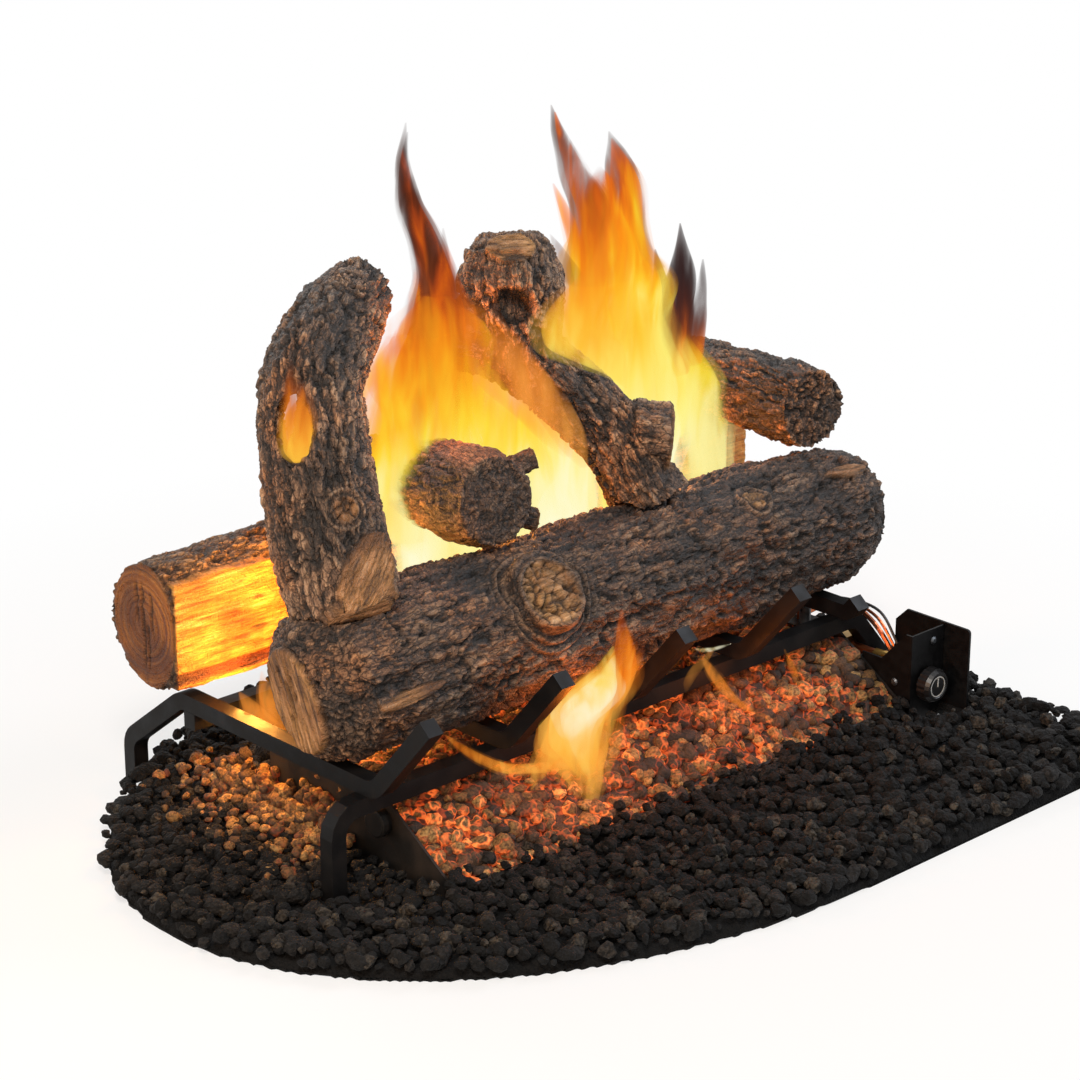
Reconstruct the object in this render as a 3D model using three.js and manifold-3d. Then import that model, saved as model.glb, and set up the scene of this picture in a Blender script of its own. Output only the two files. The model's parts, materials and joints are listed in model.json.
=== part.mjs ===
// Vented gas log set: ceramic logs on a welded bar grate, over a burner pan of embers in a bed of lava rock.
// Millimetres, +Z up. The origin is the middle of the bed's underside.
// The front faces -Y and the valve is at +X.
import * as THREE from "three";
import { mergeVertices } from "three/addons/utils/BufferGeometryUtils.js";
import Module from "manifold-3d";

const wasm = await Module();
wasm.setup();

// Driving dimensions
const clearance = 0.3; // gap between pieces that touch
const overrun = 20; // how far a cutting solid runs past what it cuts
const frontY = -22; // centre line of the front log
const bed = { length: 930, depth: 720, height: 20, lump: 5, hollow: 9, backReach: 420, corner: 90 };
const pan = { gapLeft: 73, gapRight: 2, front: -142, back: 112, lip: 20, rim: 74, apron: 85, sheet: 2.6 };
const grate = { bar: 16, railZ: 93, frontRailY: -67, backRailY: 176, bend: 22, overhang: 14 };
const legs = { left: -324, span: 668, splay: 43, splayDrop: 51, footRun: 92, footRise: 45 };
const finger = { reach: 68, rise: 79, stubReach: 10, stubRise: 12 };
const barRow = { count: 5, insetLeft: 39, insetRight: 21 };
const frontLog = { left: -320, length: 695, radius: 77, seat: 6, rim: 30, ridge: 4.3, ridges: 12 };
const logFace = { width: 75, tall: 116 };
const knot = { along: 235, tilt: 40, ring: 33, core: 22, proud: 5, bead: 5, sink: 9 };
const rearLog = { left: -315, length: 745, faceY: 163, depth: 96, tall: 131, ridge: 3 };
const ledge = { deep: 8, tall: 19 };
const leftLog = { footX: -262, trunk: 50, rise: 217.5, limb: 23, holeWide: 15, holeTall: 29, chop: 34 };
const centreLog = { footX: 113, trunk: 38, rise: 154, crown: 49, crownRise: 118 };
const centreStub = { radius: 32, length: 56, hollow: 13 };
const smallLog = { footX: -88, radius: 47, twig: 13, twigLength: 42 };
const rightLog = { footX: 328, radius: 44 };
const burner = { y: -48, z: 57, radius: 11, wall: 2, port: 1.8, ports: 14, capRadius: 13.5, capDepth: 7 };
const embers = { cover: 13, lump: 5, inset: 1.2, pitch: 27 };
const valve = { out: 21, z: 42, barrel: 15, length: 38, block: 15.8, boss: 4 };
const plug = { radius: 8, length: 27, recess: 6 };
const stem = { radius: 3, flat: 1.8, push: 4, bush: 9, bushDepth: 4.1 };
const knob = { radius: 17.5, skirt: 14.5, depth: 14, flutes: 18, flute: 0.8, dish: 0.9 };
const cover = { width: 48, front: -147, depth: 63, height: 95, sheet: 2, flank: 8, slope: 33, slopeRun: 30 };
const wing = { out: 50, front: -178, back: -84, height: 97, sheet: 2.5, corner: 14 };
const screw = { head: 4, headTall: 2.2, shank: 1.8, shankLength: 5.5, inset: 12 };
const pilot = { y: -14, hood: 6, plate: 1.6, plateWide: 34, plateTall: 26, headroom: 2.4 };
const line = { feed: 5, elbow: 20, pilot: 2.6, sensor: 1.6, spark: 1.5, probe: 3.2, nut: 7, nutLength: 11 };
const supply = { out: 25, z: 32, radius: 5.5, endY: 150, nut: 11, nutLength: 20, bore: 4 };

// Levels and places that follow from them
const barZ = grate.railZ + grate.bar + clearance;
const barTop = barZ + grate.bar / 2;
const frontZ = barTop - frontLog.seat + frontLog.radius;
const frontTop = frontZ + frontLog.radius;
const rearTop = barTop + clearance + rearLog.tall;
const rearMidY = rearLog.faceY + rearLog.depth * 0.42;
const logGap = rearMidY - frontY;
const legRight = legs.left + legs.span;
const panLeft = legs.left + pan.gapLeft;
const panRight = legRight - pan.gapRight;
const panLength = panRight - panLeft;
const lastBar = barRow.count - 1;
const barPitch = (legs.span - barRow.insetLeft - barRow.insetRight) / lastBar;
const valveX = panRight + valve.out;
const wingX = panRight + wing.out;
const supplyX = panRight + supply.out;

const steel = new THREE.MeshStandardMaterial({ color: 0x1b1b1d, roughness: 0.62, metalness: 0.6 });
const castSteel = new THREE.MeshStandardMaterial({ color: 0x242325, roughness: 0.75, metalness: 0.5 });
const bark = new THREE.MeshStandardMaterial({ color: 0x5b4a3d, roughness: 0.95, metalness: 0 });
const splitWood = new THREE.MeshStandardMaterial({ color: 0x8a6038, roughness: 0.9, metalness: 0 });
const lava = new THREE.MeshStandardMaterial({ color: 0x2f2e2f, roughness: 0.98, metalness: 0 });
const ember = new THREE.MeshStandardMaterial({ color: 0x8b4a2a, roughness: 0.95, metalness: 0 });
const sand = new THREE.MeshStandardMaterial({ color: 0xb09a78, roughness: 1, metalness: 0 });
const brass = new THREE.MeshStandardMaterial({ color: 0xb08d4a, roughness: 0.35, metalness: 1 });
const copper = new THREE.MeshStandardMaterial({ color: 0xa35a3a, roughness: 0.35, metalness: 1 });
const plastic = new THREE.MeshStandardMaterial({ color: 0x151516, roughness: 0.45, metalness: 0 });
const porcelain = new THREE.MeshStandardMaterial({ color: 0xe6e1d6, roughness: 0.3, metalness: 0 });
const zinc = new THREE.MeshStandardMaterial({ color: 0x8f9296, roughness: 0.4, metalness: 1 });

const group = new THREE.Group();
const onFloor = new THREE.Matrix4();
// An outline drawn in X and Z stands upright, and one drawn in Y and Z stands side on.
const facingFront = new THREE.Matrix4().makeBasis(
  new THREE.Vector3(1, 0, 0),
  new THREE.Vector3(0, 0, 1),
  new THREE.Vector3(0, -1, 0),
);
const sideOn = new THREE.Matrix4().makeBasis(
  new THREE.Vector3(0, 1, 0),
  new THREE.Vector3(0, 0, 1),
  new THREE.Vector3(1, 0, 0),
);

// Meshes and solids
function piece(name, geometry, material, place = new THREE.Vector3(), turn = onFloor) {
  const mesh = new THREE.Mesh(geometry, material);
  mesh.name = name;
  mesh.quaternion.setFromRotationMatrix(turn);
  mesh.position.copy(place);
  mesh.updateMatrixWorld(true);
  return mesh;
}

function solidOf(mesh) {
  const bare = mesh.geometry.clone().applyMatrix4(mesh.matrixWorld);
  bare.deleteAttribute("normal");
  bare.deleteAttribute("uv");
  const merged = mergeVertices(bare, 1e-4);
  const data = { numProp: 3, vertProperties: merged.attributes.position.array };
  data.triVerts = new Uint32Array(merged.index.array);
  return new wasm.Manifold(new wasm.Mesh(data));
}

// The largest body of a solid, put back in the mesh's own frame.
function setSolid(mesh, solid) {
  const bodies = solid.decompose();
  bodies.sort((a, b) => b.volume() - a.volume());
  const { vertProperties, triVerts, numProp } = bodies[0].getMesh();
  const count = vertProperties.length / numProp;
  const places = new Float32Array(count * 3);
  for (let i = 0; i < count; i++) places.set(vertProperties.subarray(i * numProp, i * numProp + 3), i * 3);
  const made = new THREE.BufferGeometry();
  made.setAttribute("position", new THREE.BufferAttribute(places, 3));
  made.setIndex(new THREE.BufferAttribute(new Uint32Array(triVerts), 1));
  made.applyMatrix4(mesh.matrixWorld.clone().invert());
  const faceted = made.toNonIndexed();
  faceted.computeVertexNormals();
  mesh.geometry = faceted;
  return mesh;
}

function cut(mesh, ...tools) {
  return setSolid(mesh, tools.reduce((solid, tool) => solid.subtract(solidOf(tool)), solidOf(mesh)));
}

function join(mesh, ...others) {
  return setSolid(mesh, others.reduce((solid, other) => solid.add(solidOf(other)), solidOf(mesh)));
}

function boxBetween(low, high) {
  const size = high.clone().sub(low);
  const middle = low.clone().add(high).divideScalar(2);
  return piece("", new THREE.BoxGeometry(size.x, size.y, size.z), steel, middle);
}

function at(x, y, z) {
  return new THREE.Vector3(x, y, z);
}

// A rod between two points.
function rod(from, to, radius, sides = 16) {
  const along = to.clone().sub(from);
  const turn = new THREE.Matrix4().makeRotationFromQuaternion(
    new THREE.Quaternion().setFromUnitVectors(at(0, 1, 0), along.clone().normalize()),
  );
  const round = new THREE.CylinderGeometry(radius, radius, along.length(), sides);
  return piece("", round, steel, from.clone().add(to).divideScalar(2), turn);
}

// Flat bars and sheets: a line with rounded corners, widened to both sides.
function stripShape(corners, width, bend) {
  const samples = [];
  corners.forEach((corner, i) => {
    if (i === 0 || i === corners.length - 1) {
      const other = corners[i === 0 ? 1 : i - 1];
      const way = other.clone().sub(corner).normalize();
      if (i > 0) way.negate();
      samples.push([corner.clone(), way]);
      return;
    }
    const into = corner.clone().sub(corners[i - 1]).normalize();
    const out = corners[i + 1].clone().sub(corner).normalize();
    const turn = Math.atan2(into.cross(out), into.dot(out));
    const setback = bend * Math.tan(Math.abs(turn) / 2);
    const side = new THREE.Vector2(-into.y, into.x).multiplyScalar(Math.sign(turn));
    const centre = corner.clone().addScaledVector(into, -setback).addScaledVector(side, bend);
    const steps = 4;
    for (let k = 0; k <= steps; k++) {
      const angle = (turn * k) / steps;
      const spoke = side.clone().negate().rotateAround(new THREE.Vector2(), angle);
      const way = into.clone().rotateAround(new THREE.Vector2(), angle);
      samples.push([centre.clone().addScaledVector(spoke, bend), way]);
    }
  });
  const aside = (way, reach) => flat(-way.y, way.x).multiplyScalar(reach);
  const edge = (sign) => samples.map(([p, way]) => p.clone().add(aside(way, (sign * width) / 2)));
  return new THREE.Shape([...edge(-1), ...edge(1).reverse()]);
}

function flat(u, v) {
  return new THREE.Vector2(u, v);
}

function thick(shape, depth) {
  return new THREE.ExtrudeGeometry(shape, { depth, bevelEnabled: false, curveSegments: 10 });
}

// A round tube along a smooth curve.
function pipe(name, points, radius, material, sides = 6) {
  const curve = new THREE.CatmullRomCurve3(points, false, "centripetal");
  const ring = new THREE.Shape();
  for (let k = 0; k < sides; k++) {
    const angle = (2 * Math.PI * k) / sides;
    if (k === 0) ring.moveTo(radius, 0);
    else ring.lineTo(radius * Math.cos(angle), radius * Math.sin(angle));
  }
  const steps = Math.min(40, Math.ceil(curve.getLength() / (3 * radius)));
  const swept = new THREE.ExtrudeGeometry(ring, { extrudePath: curve, steps, curveSegments: 1 });
  return piece(name, swept, material);
}

function turned(name, profile, sides, material, place, turn) {
  return piece(name, new THREE.LatheGeometry(profile, sides), material, place, turn);
}

// Logs: rings of a barky section swept along a smooth line.
// A station holds a place, a half width and a half height.
function barkLog(name, log, material, grow = 0) {
  const { stations, up, sides, rings, ridge, ridges, seed } = log;
  const curve = new THREE.CatmullRomCurve3(stations.map((s) => s.place), false, "centripetal");
  const positions = [];
  const index = [];
  const lengths = [0];
  stations.forEach((s, i) => i && lengths.push(lengths[i - 1] + s.place.distanceTo(stations[i - 1].place)));
  const total = lengths[lengths.length - 1];
  const sizeAt = (share, key) => {
    const reach = share * total;
    let i = 1;
    while (i < stations.length - 1 && lengths[i] < reach) i++;
    const mix = (reach - lengths[i - 1]) / (lengths[i] - lengths[i - 1]);
    const eased = mix * mix * (3 - 2 * mix);
    return stations[i - 1][key] * (1 - eased) + stations[i][key] * eased;
  };
  const shares = stations.length > 2 ? ringShares(rings, lengths, total) : [0, 1];
  shares.forEach((share, j) => {
    const place = curve.getPointAt(Math.min(1, Math.max(0, share)));
    const ahead = curve.getTangentAt(Math.min(1, Math.max(0, share)));
    const across = ahead.clone().cross(up).normalize();
    const tall = across.clone().cross(ahead).normalize();
    const atEnd = j === 0 || j === shares.length - 1;
    for (let k = 0; k < sides; k++) {
      const angle = (2 * Math.PI * k) / sides;
      const swell = 1 + 0.03 * Math.sin(2 * angle + seed + 5 * share) + 0.02 * Math.sin(3 * angle - seed);
      const wave = Math.sin(ridges * angle + 2.2 * Math.sin(9 * share + seed) + seed);
      const rough = atEnd ? 0 : ridge * (0.6 * wave + 0.4 * Math.sin(23 * share + 4 * angle + seed) - 1);
      const w = sizeAt(share, "across") * swell + rough + grow;
      const h = sizeAt(share, "tall") * swell + rough + grow;
      const point = place.clone().addScaledVector(across, w * Math.cos(angle));
      point.addScaledVector(tall, h * Math.sin(angle));
      if (atEnd) point.addScaledVector(ahead, j === 0 ? -grow : grow);
      positions.push(point.x, point.y, point.z);
    }
  });
  const last = shares.length - 1;
  for (let j = 0; j < last; j++)
    for (let k = 0; k < sides; k++) {
      const next = (k + 1) % sides;
      const a = j * sides + k;
      const b = j * sides + next;
      index.push(a, a + sides, b, b, a + sides, b + sides);
    }
  [0, last].forEach((j) => {
    const middle = at(0, 0, 0);
    for (let k = 0; k < sides; k++) {
      const i = (j * sides + k) * 3;
      middle.add(at(positions[i], positions[i + 1], positions[i + 2]));
    }
    middle.divideScalar(sides);
    const centre = positions.length / 3;
    positions.push(middle.x, middle.y, middle.z);
    for (let k = 0; k < sides; k++) {
      const a = j * sides + k;
      const b = j * sides + ((k + 1) % sides);
      if (j === 0) index.push(a, b, centre);
      else index.push(b, a, centre);
    }
  });
  const made = new THREE.BufferGeometry();
  made.setAttribute("position", new THREE.Float32BufferAttribute(positions, 3));
  made.setIndex(index);
  const faceted = made.toNonIndexed();
  faceted.computeVertexNormals();
  return piece(name, faceted, material);
}

// Rings at each station, with even ones between them.
function ringShares(rings, lengths, total) {
  const shares = new Set(lengths.map((l) => l / total));
  for (let i = 1; i < lengths.length; i++) {
    const gap = lengths[i] - lengths[i - 1];
    const part = Math.max(1, Math.round((rings * gap) / total));
    for (let k = 1; k < part; k++) shares.add((lengths[i - 1] + (gap * k) / part) / total);
  }
  return [...shares].sort((a, b) => a - b);
}

function station(place, across, tall = across) {
  return { place, across, tall };
}

// Lava rock bed: a half oval at the left, square at the right, with a lumpy top
// and holes for what stands in it.
function bedOutline(share) {
  const half = bed.length / 2;
  const deep = bed.depth / 2;
  const points = [];
  const steps = 32;
  const turnX = half - bed.backReach;
  for (let k = 0; k <= steps; k++) {
    const angle = Math.PI / 2 + (Math.PI * k) / steps;
    points.push(flat(turnX + (half + turnX) * Math.cos(angle), deep * Math.sin(angle)));
  }
  [-1, 1].forEach((sign) => {
    const centre = flat(half - bed.corner, sign * (deep - bed.corner));
    const run = 6;
    const straight = (k) => flat(turnX + ((centre.x - turnX) * k) / run, sign * deep);
    if (sign < 0) {
      for (let k = 1; k < run; k++) points.push(straight(k));
    }
    const corner = 5;
    for (let k = 0; k <= corner; k++) {
      const angle = sign < 0 ? -Math.PI / 2 + (Math.PI / 2) * (k / corner) : (Math.PI / 2) * (k / corner);
      points.push(centre.clone().add(flat(bed.corner * Math.cos(angle), bed.corner * Math.sin(angle))));
    }
    if (sign > 0) {
      for (let k = run - 1; k > 0; k--) points.push(straight(k));
    }
  });
  return points.map((p) => p.multiplyScalar(share));
}

function lavaBed() {
  const bandShares = [1, 0.985, 0.955, 0.915, 0.87, 0.825, 0.775, 0.725, 0.67, 0.61, 0.55, 0.48, 0.4, 0.3];
  const count = bedOutline(1).length;
  const positions = [];
  const index = [];
  bedOutline(1).forEach((p) => positions.push(p.x, p.y, 0));
  bandShares.forEach((share, j) => {
    bedOutline(share).forEach((p, k) => {
      const rise = j === 0 ? 0.35 : j === 1 ? 0.8 : 1;
      const wave = j === 0 ? 0 : Math.sin(k * 2.4 + j * 1.9) * Math.cos(k * 0.9 - j * 2.3);
      const lump = wave * (wave > 0 ? bed.lump : bed.hollow);
      positions.push(p.x, p.y, (bed.height + lump) * rise);
    });
  });
  for (let j = 0; j < bandShares.length; j++)
    for (let k = 0; k < count; k++) {
      const a = j * count + k;
      const b = j * count + ((k + 1) % count);
      index.push(a, b, a + count, b, b + count, a + count);
    }
  const top = positions.length / 3;
  positions.push(0, 0, bed.height, 0, 0, 0);
  for (let k = 0; k < count; k++) {
    const next = (k + 1) % count;
    index.push(bandShares.length * count + k, bandShares.length * count + next, top);
    index.push(next, k, top + 1);
  }
  const made = new THREE.BufferGeometry();
  made.setAttribute("position", new THREE.Float32BufferAttribute(positions, 3));
  made.setIndex(index);
  const mesh = piece("lava_rock_bed", made.toNonIndexed(), lava);
  const c = clearance;
  const b = grate.bar / 2 + c;
  const over = bed.height + bed.lump + overrun;
  const hole = (x0, x1, y0, y1) => boxBetween(at(x0, y0, -overrun), at(x1, y1, over));
  const backFootY = grate.backRailY + overhangToFoot();
  const outerBars = [barX(0), barX(lastBar)];
  const footRight = legRight + legs.splay;
  return cut(
    mesh,
    hole(panLeft - c, panRight + c, pan.front - c, pan.back + c),
    hole(legs.left - b, legs.left + b, grate.frontRailY - b, grate.frontRailY + b),
    hole(footRight - b, footRight + b, grate.frontRailY - b, grate.frontRailY + b),
    ...outerBars.map((x) => hole(x - b, x + b, backFootY - b, backFootY + b)),
    hole(panRight + c / 2, wingX + wing.sheet + c, wing.front - c, wing.back + c),
  );
}

// Grate
function barX(i) {
  return legs.left + barRow.insetLeft + barPitch * i;
}

function overhangToFoot() {
  return grate.overhang + legs.footRun - grate.bar / 2;
}

function frontRail(grow = 0) {
  const bendZ = grate.railZ - legs.splayDrop;
  const corners = [
    flat(legs.left, 0),
    flat(legs.left, grate.railZ),
    flat(legRight, grate.railZ),
    flat(legRight + legs.splay, bendZ),
    flat(legRight + legs.splay, 0),
  ];
  const width = grate.bar + 2 * grow;
  const place = at(0, grate.frontRailY + width / 2, 0);
  const bar = thick(stripShape(corners, width, grate.bend), width);
  return piece("grate_front_rail", bar, steel, place, facingFront);
}

function rearRail() {
  const half = grate.bar / 2;
  const low = at(barX(0) - half, grate.backRailY - half, grate.railZ - half);
  const high = at(barX(lastBar) + half, grate.backRailY + half, grate.railZ + half);
  const mesh = boxBetween(low, high);
  mesh.name = "grate_rear_rail";
  return mesh;
}

function crossBar(i, grow = 0) {
  const short = i === lastBar;
  const outer = i === 0 || short;
  const reach = short ? finger.stubReach : finger.reach;
  const rise = short ? finger.stubRise : finger.rise;
  const bendY = grate.frontRailY - grate.overhang - grate.bar / 5;
  const corners = [
    flat(bendY - reach, barZ + rise),
    flat(bendY, barZ),
    flat(grate.backRailY + grate.overhang, barZ),
  ];
  if (outer) {
    const footY = grate.backRailY + overhangToFoot();
    corners.push(flat(footY, legs.footRise), flat(footY, 0));
  }
  const width = grate.bar + 2 * grow;
  const place = at(barX(i) - width / 2, 0, 0);
  const shape = stripShape(corners, width, short ? grate.bend / 2 : grate.bend);
  return piece("grate_bar_" + (i + 1), thick(shape, width), steel, place, sideOn);
}

// Logs
function frontLogAt(grow = 0) {
  const x0 = frontLog.left;
  const r = frontLog.radius;
  const end = x0 + frontLog.length;
  const body = barkLog(
    "front_log",
    {
      stations: [
        station(at(x0, frontY + r * 0.02, frontZ - r * 0.1), logFace.width / 2, logFace.tall / 2),
        station(at(x0 + frontLog.rim, frontY, frontZ), r),
        station(at(x0 + frontLog.length * 0.45, frontY, frontZ), r),
        station(at(end - frontLog.rim, frontY, frontZ), r * 0.97),
        station(at(end, frontY, frontZ), r * 0.8),
      ],
      up: at(0, 0, 1),
      sides: 32,
      rings: 22,
      ridge: frontLog.ridge,
      ridges: frontLog.ridges,
      seed: 0.7,
    },
    bark,
    grow,
  );
  const tilt = THREE.MathUtils.degToRad(knot.tilt);
  const way = at(0, -Math.cos(tilt), Math.sin(tilt));
  const base = at(x0 + knot.along, frontY, frontZ).addScaledVector(way, r - knot.sink);
  const turn = new THREE.Matrix4().makeRotationFromQuaternion(
    new THREE.Quaternion().setFromUnitVectors(at(0, 1, 0), way),
  );
  const top = knot.sink + knot.proud;
  const boss = turned(
    "",
    [
      flat(0, -knot.sink),
      flat(knot.ring + knot.bead, -knot.sink),
      flat(knot.ring + knot.bead, knot.sink),
      flat(knot.ring + knot.bead / 2 + grow, top + grow),
      flat(knot.ring - knot.bead / 2, top + grow),
      flat(knot.core + grow, knot.sink + grow),
      flat(knot.core - knot.bead + grow, top - knot.bead / 3 + grow),
      flat(0, top + grow),
    ],
    20,
    bark,
    base,
    turn,
  );
  return join(body, boss);
}

function rearLogAt(grow = 0) {
  const x0 = rearLog.left;
  const end = x0 + rearLog.length;
  const midZ = barTop + clearance + rearLog.tall / 2;
  const deep = rearLog.depth * 0.62;
  const tall = rearLog.tall / 2;
  const body = barkLog(
    "rear_log",
    {
      stations: [
        station(at(x0, rearMidY, midZ), deep * 0.92, tall * 0.94),
        station(at(x0 + frontLog.rim, rearMidY, midZ), deep, tall),
        station(at(x0 + rearLog.length * 0.5, rearMidY, midZ), deep, tall),
        station(at(end - frontLog.rim, rearMidY, midZ), deep, tall),
        station(at(end, rearMidY, midZ), deep * 0.8, tall * 0.85),
      ],
      up: at(0, 0, 1),
      sides: 28,
      rings: 16,
      ridge: rearLog.ridge,
      ridges: 8,
      seed: 2.1,
    },
    splitWood,
    grow,
  );
  const low = barTop + clearance - grow;
  const ledgeTop = low + ledge.tall;
  const face = rearLog.faceY - grow;
  const out = at(x0 - overrun, face - rearLog.depth, ledgeTop);
  const front = boxBetween(out, at(end + overrun, face, rearTop + overrun));
  const under = at(x0 - overrun, face - rearLog.depth, low - overrun - ledge.deep);
  const below = boxBetween(under, at(end + overrun, face - ledge.deep, ledgeTop + clearance));
  return cut(body, front, below);
}

function limb(places, radii, seed, sides = 16, rings = 8) {
  const stations = places.map((p, i) => station(p, radii[i]));
  const log = { stations, up: at(1, 0, 0), sides, rings, ridge: 1.6, ridges: 5, seed };
  return barkLog("", log, bark);
}

// Left top log: a bent trunk that stands on the front log, with a limb behind it down to the rear log.
function leftTopLog() {
  const r = leftLog.trunk;
  const foot = at(leftLog.footX, frontY, frontTop);
  const trunkShares = [
    [0, 0, -0.16],
    [0, 0.16, 0.28],
    [0.06, 0.29, 0.56],
    [0.2, 0.42, 0.74],
    [0.42, 0.54, 0.85],
    [0.67, 0.66, 0.93],
    [0.95, 0.78, 0.97],
  ];
  const girthShares = [1.02, 1.04, 0.98, 0.95, 0.93, 0.85, 0.66];
  const span = at(3 * r, 0.85 * logGap, leftLog.rise);
  const places = trunkShares.map(([x, y, z]) => foot.clone().add(at(x * span.x, y * span.y, z * span.z)));
  const stations = places.map((p, i) => station(p, r * girthShares[i]));
  const log = { stations, up: at(1, 0, 0), sides: 24, rings: 16, ridge: 2.6, ridges: 7, seed: 1.3 };
  const trunk = barkLog("left_top_log", log, bark);
  const shoulder = places[5].clone();
  const heel = at(leftLog.footX + 2.7 * r, rearMidY, rearTop - r / 4);
  const knee = shoulder.clone().lerp(heel, 0.5).add(at(-r * 0.05, r * 0.12, r * 0.1));
  const rear = limb([shoulder, knee, heel], [leftLog.limb * 1.2, leftLog.limb, leftLog.limb * 1.15], 0.4);
  const crook = places[2].clone().lerp(places[3], 0.35);
  const sight = at(0.66, 0.7, -0.28).normalize();
  const bore = at(-leftLog.trunk * 0.37, 0, 0).add(crook);
  const slot = rod(
    bore.clone().addScaledVector(sight, -2 * r),
    bore.clone().addScaledVector(sight, 2 * r),
    leftLog.holeWide,
    14,
  );
  slot.geometry.scale(1, 1, leftLog.holeTall / leftLog.holeWide);
  const body = join(trunk, rear);
  const chops = [at(-0.15, -0.86, -0.48), at(0.72, -0.6, -0.35)].map((normal) =>
    chopBlock(foot, normal.normalize(), leftLog.chop, r),
  );
  return cut(body, slot, ...chops, frontLogAt(clearance), rearLogAt(clearance));
}

// A block that takes everything past a plane, which stands off a place along its normal.
function chopBlock(place, normal, standOff, size) {
  const turn = new THREE.Matrix4().makeRotationFromQuaternion(
    new THREE.Quaternion().setFromUnitVectors(at(0, 0, 1), normal),
  );
  const centre = place.clone().addScaledVector(normal, standOff + size);
  return piece("", new THREE.BoxGeometry(4 * size, 4 * size, 2 * size), bark, centre, turn);
}

// Centre log: a branch arched from the front log to the rear one, with a thick crown and a chopped stub.
function centreBranchLog() {
  const r = centreLog.trunk;
  const foot = at(centreLog.footX, frontY, frontTop);
  const span = at(3.8 * r, logGap, centreLog.rise);
  const archShares = [
    [0, 0.04, -0.06],
    [-0.16, 0.19, 0.37],
    [-0.37, 0.32, 0.65],
    [-0.58, 0.475, 0.875],
    [-0.8, 0.63, 0.97],
    [-0.76, 0.8, 0.84],
    [-0.62, 0.92, 0.4],
    [-0.52, 1, -0.17],
  ];
  const girthShares = [0.98, 1, 1.02, 1.05, 1, 0.92, 0.86, 0.9];
  const places = archShares.map(([x, y, z]) => foot.clone().add(at(x * span.x, y * span.y, z * span.z)));
  const stations = places.map((p, i) => station(p, r * girthShares[i]));
  const log = { stations, up: at(1, 0.5, 0), sides: 20, rings: 16, ridge: 2.2, ridges: 6, seed: 2.9 };
  const arch = barkLog("centre_branch_log", log, bark);
  const root = places[1].clone();
  const way = at(0.74, -0.65, -0.12).normalize();
  const tip = root.clone().addScaledVector(way, centreStub.length);
  const middle = root.clone().lerp(tip, 0.5);
  const stubGirths = [1, 1.05, 1].map((share) => share * centreStub.radius);
  const stub = limb([root, middle, tip], stubGirths, 0.2, 16, 5);
  const inner = tip.clone().addScaledVector(way, -centreStub.hollow);
  const hollow = rod(inner, tip.clone().addScaledVector(way, overrun), centreStub.radius * 0.55, 10);
  const neck = places[3].clone().add(at(0, 0, -0.25 * centreLog.crown));
  const crownTop = neck.clone().add(at(0.3 * centreLog.crown, 0.45 * centreLog.crown, centreLog.crownRise));
  const crownShares = [0, 0.3, 0.62, 0.88, 1];
  const crownPlaces = crownShares.map((share) => neck.clone().lerp(crownTop, share));
  const crownGirthShares = [0.8, 0.98, 1.06, 0.9, 0.55];
  const crown = limb(crownPlaces, crownGirthShares.map((share) => share * centreLog.crown), 1.9, 20, 10);
  const look = at(-0.62, -0.7, -0.22).normalize();
  const eye = crownPlaces[2].clone().addScaledVector(look, centreLog.crown * 0.72);
  const knotHole = rod(eye, eye.clone().addScaledVector(look, centreLog.crown), centreStub.hollow, 10);
  return cut(join(arch, crown, stub), hollow, knotHole, frontLogAt(clearance), rearLogAt(clearance));
}

function smallBranchLog() {
  const r = smallLog.radius;
  const from = at(smallLog.footX, frontY + r * 0.1, frontTop + r * 0.86);
  const to = at(smallLog.footX + 0.55 * r, rearMidY - r * 0.5, rearTop + r * 0.72);
  const middle = from.clone().lerp(to, 0.5).add(at(0, 0, r * 0.05));
  const stations = [
    station(from, r * 0.86),
    station(from.clone().lerp(to, 0.14), r),
    station(middle, r * 0.92),
    station(to, r * 0.72),
  ];
  const log = { stations, up: at(0, 0, 1), sides: 18, rings: 9, ridge: 2.4, ridges: 5, seed: 4.4 };
  const body = barkLog("small_branch_log", log, bark);
  const twigs = [at(0.92, -0.3, 0.28), at(0.86, -0.42, -0.3)].map((way, i) => {
    const root = from.clone().lerp(to, 0.12).add(at(r * 0.3, 0, (0.35 - 0.7 * i) * r));
    const tip = root.clone().addScaledVector(way.normalize(), smallLog.twigLength);
    const girths = [1.1, 1, 0.9].map((share) => share * smallLog.twig);
    return limb([root, root.clone().lerp(tip, 0.5), tip], girths, i, 10, 3);
  });
  return cut(join(body, ...twigs), frontLogAt(clearance), rearLogAt(clearance));
}

function rightTopLog() {
  const r = rightLog.radius;
  const from = at(rightLog.footX, frontY, frontTop + r * 0.85);
  const to = at(rightLog.footX + 1.35 * r, rearMidY + r * 0.3, rearTop + r * 0.72);
  const stations = [
    station(from, r * 0.84),
    station(from.clone().lerp(to, 0.12), r),
    station(from.clone().lerp(to, 0.5).add(at(-r * 0.2, 0, r * 0.1)), r * 0.98),
    station(from.clone().lerp(to, 0.88), r * 0.95),
    station(to, r * 0.8),
  ];
  const log = { stations, up: at(0, 0, 1), sides: 22, rings: 12, ridge: 2.6, ridges: 7, seed: 5.2 };
  return cut(barkLog("right_top_log", log, bark), frontLogAt(clearance), rearLogAt(clearance));
}

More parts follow.
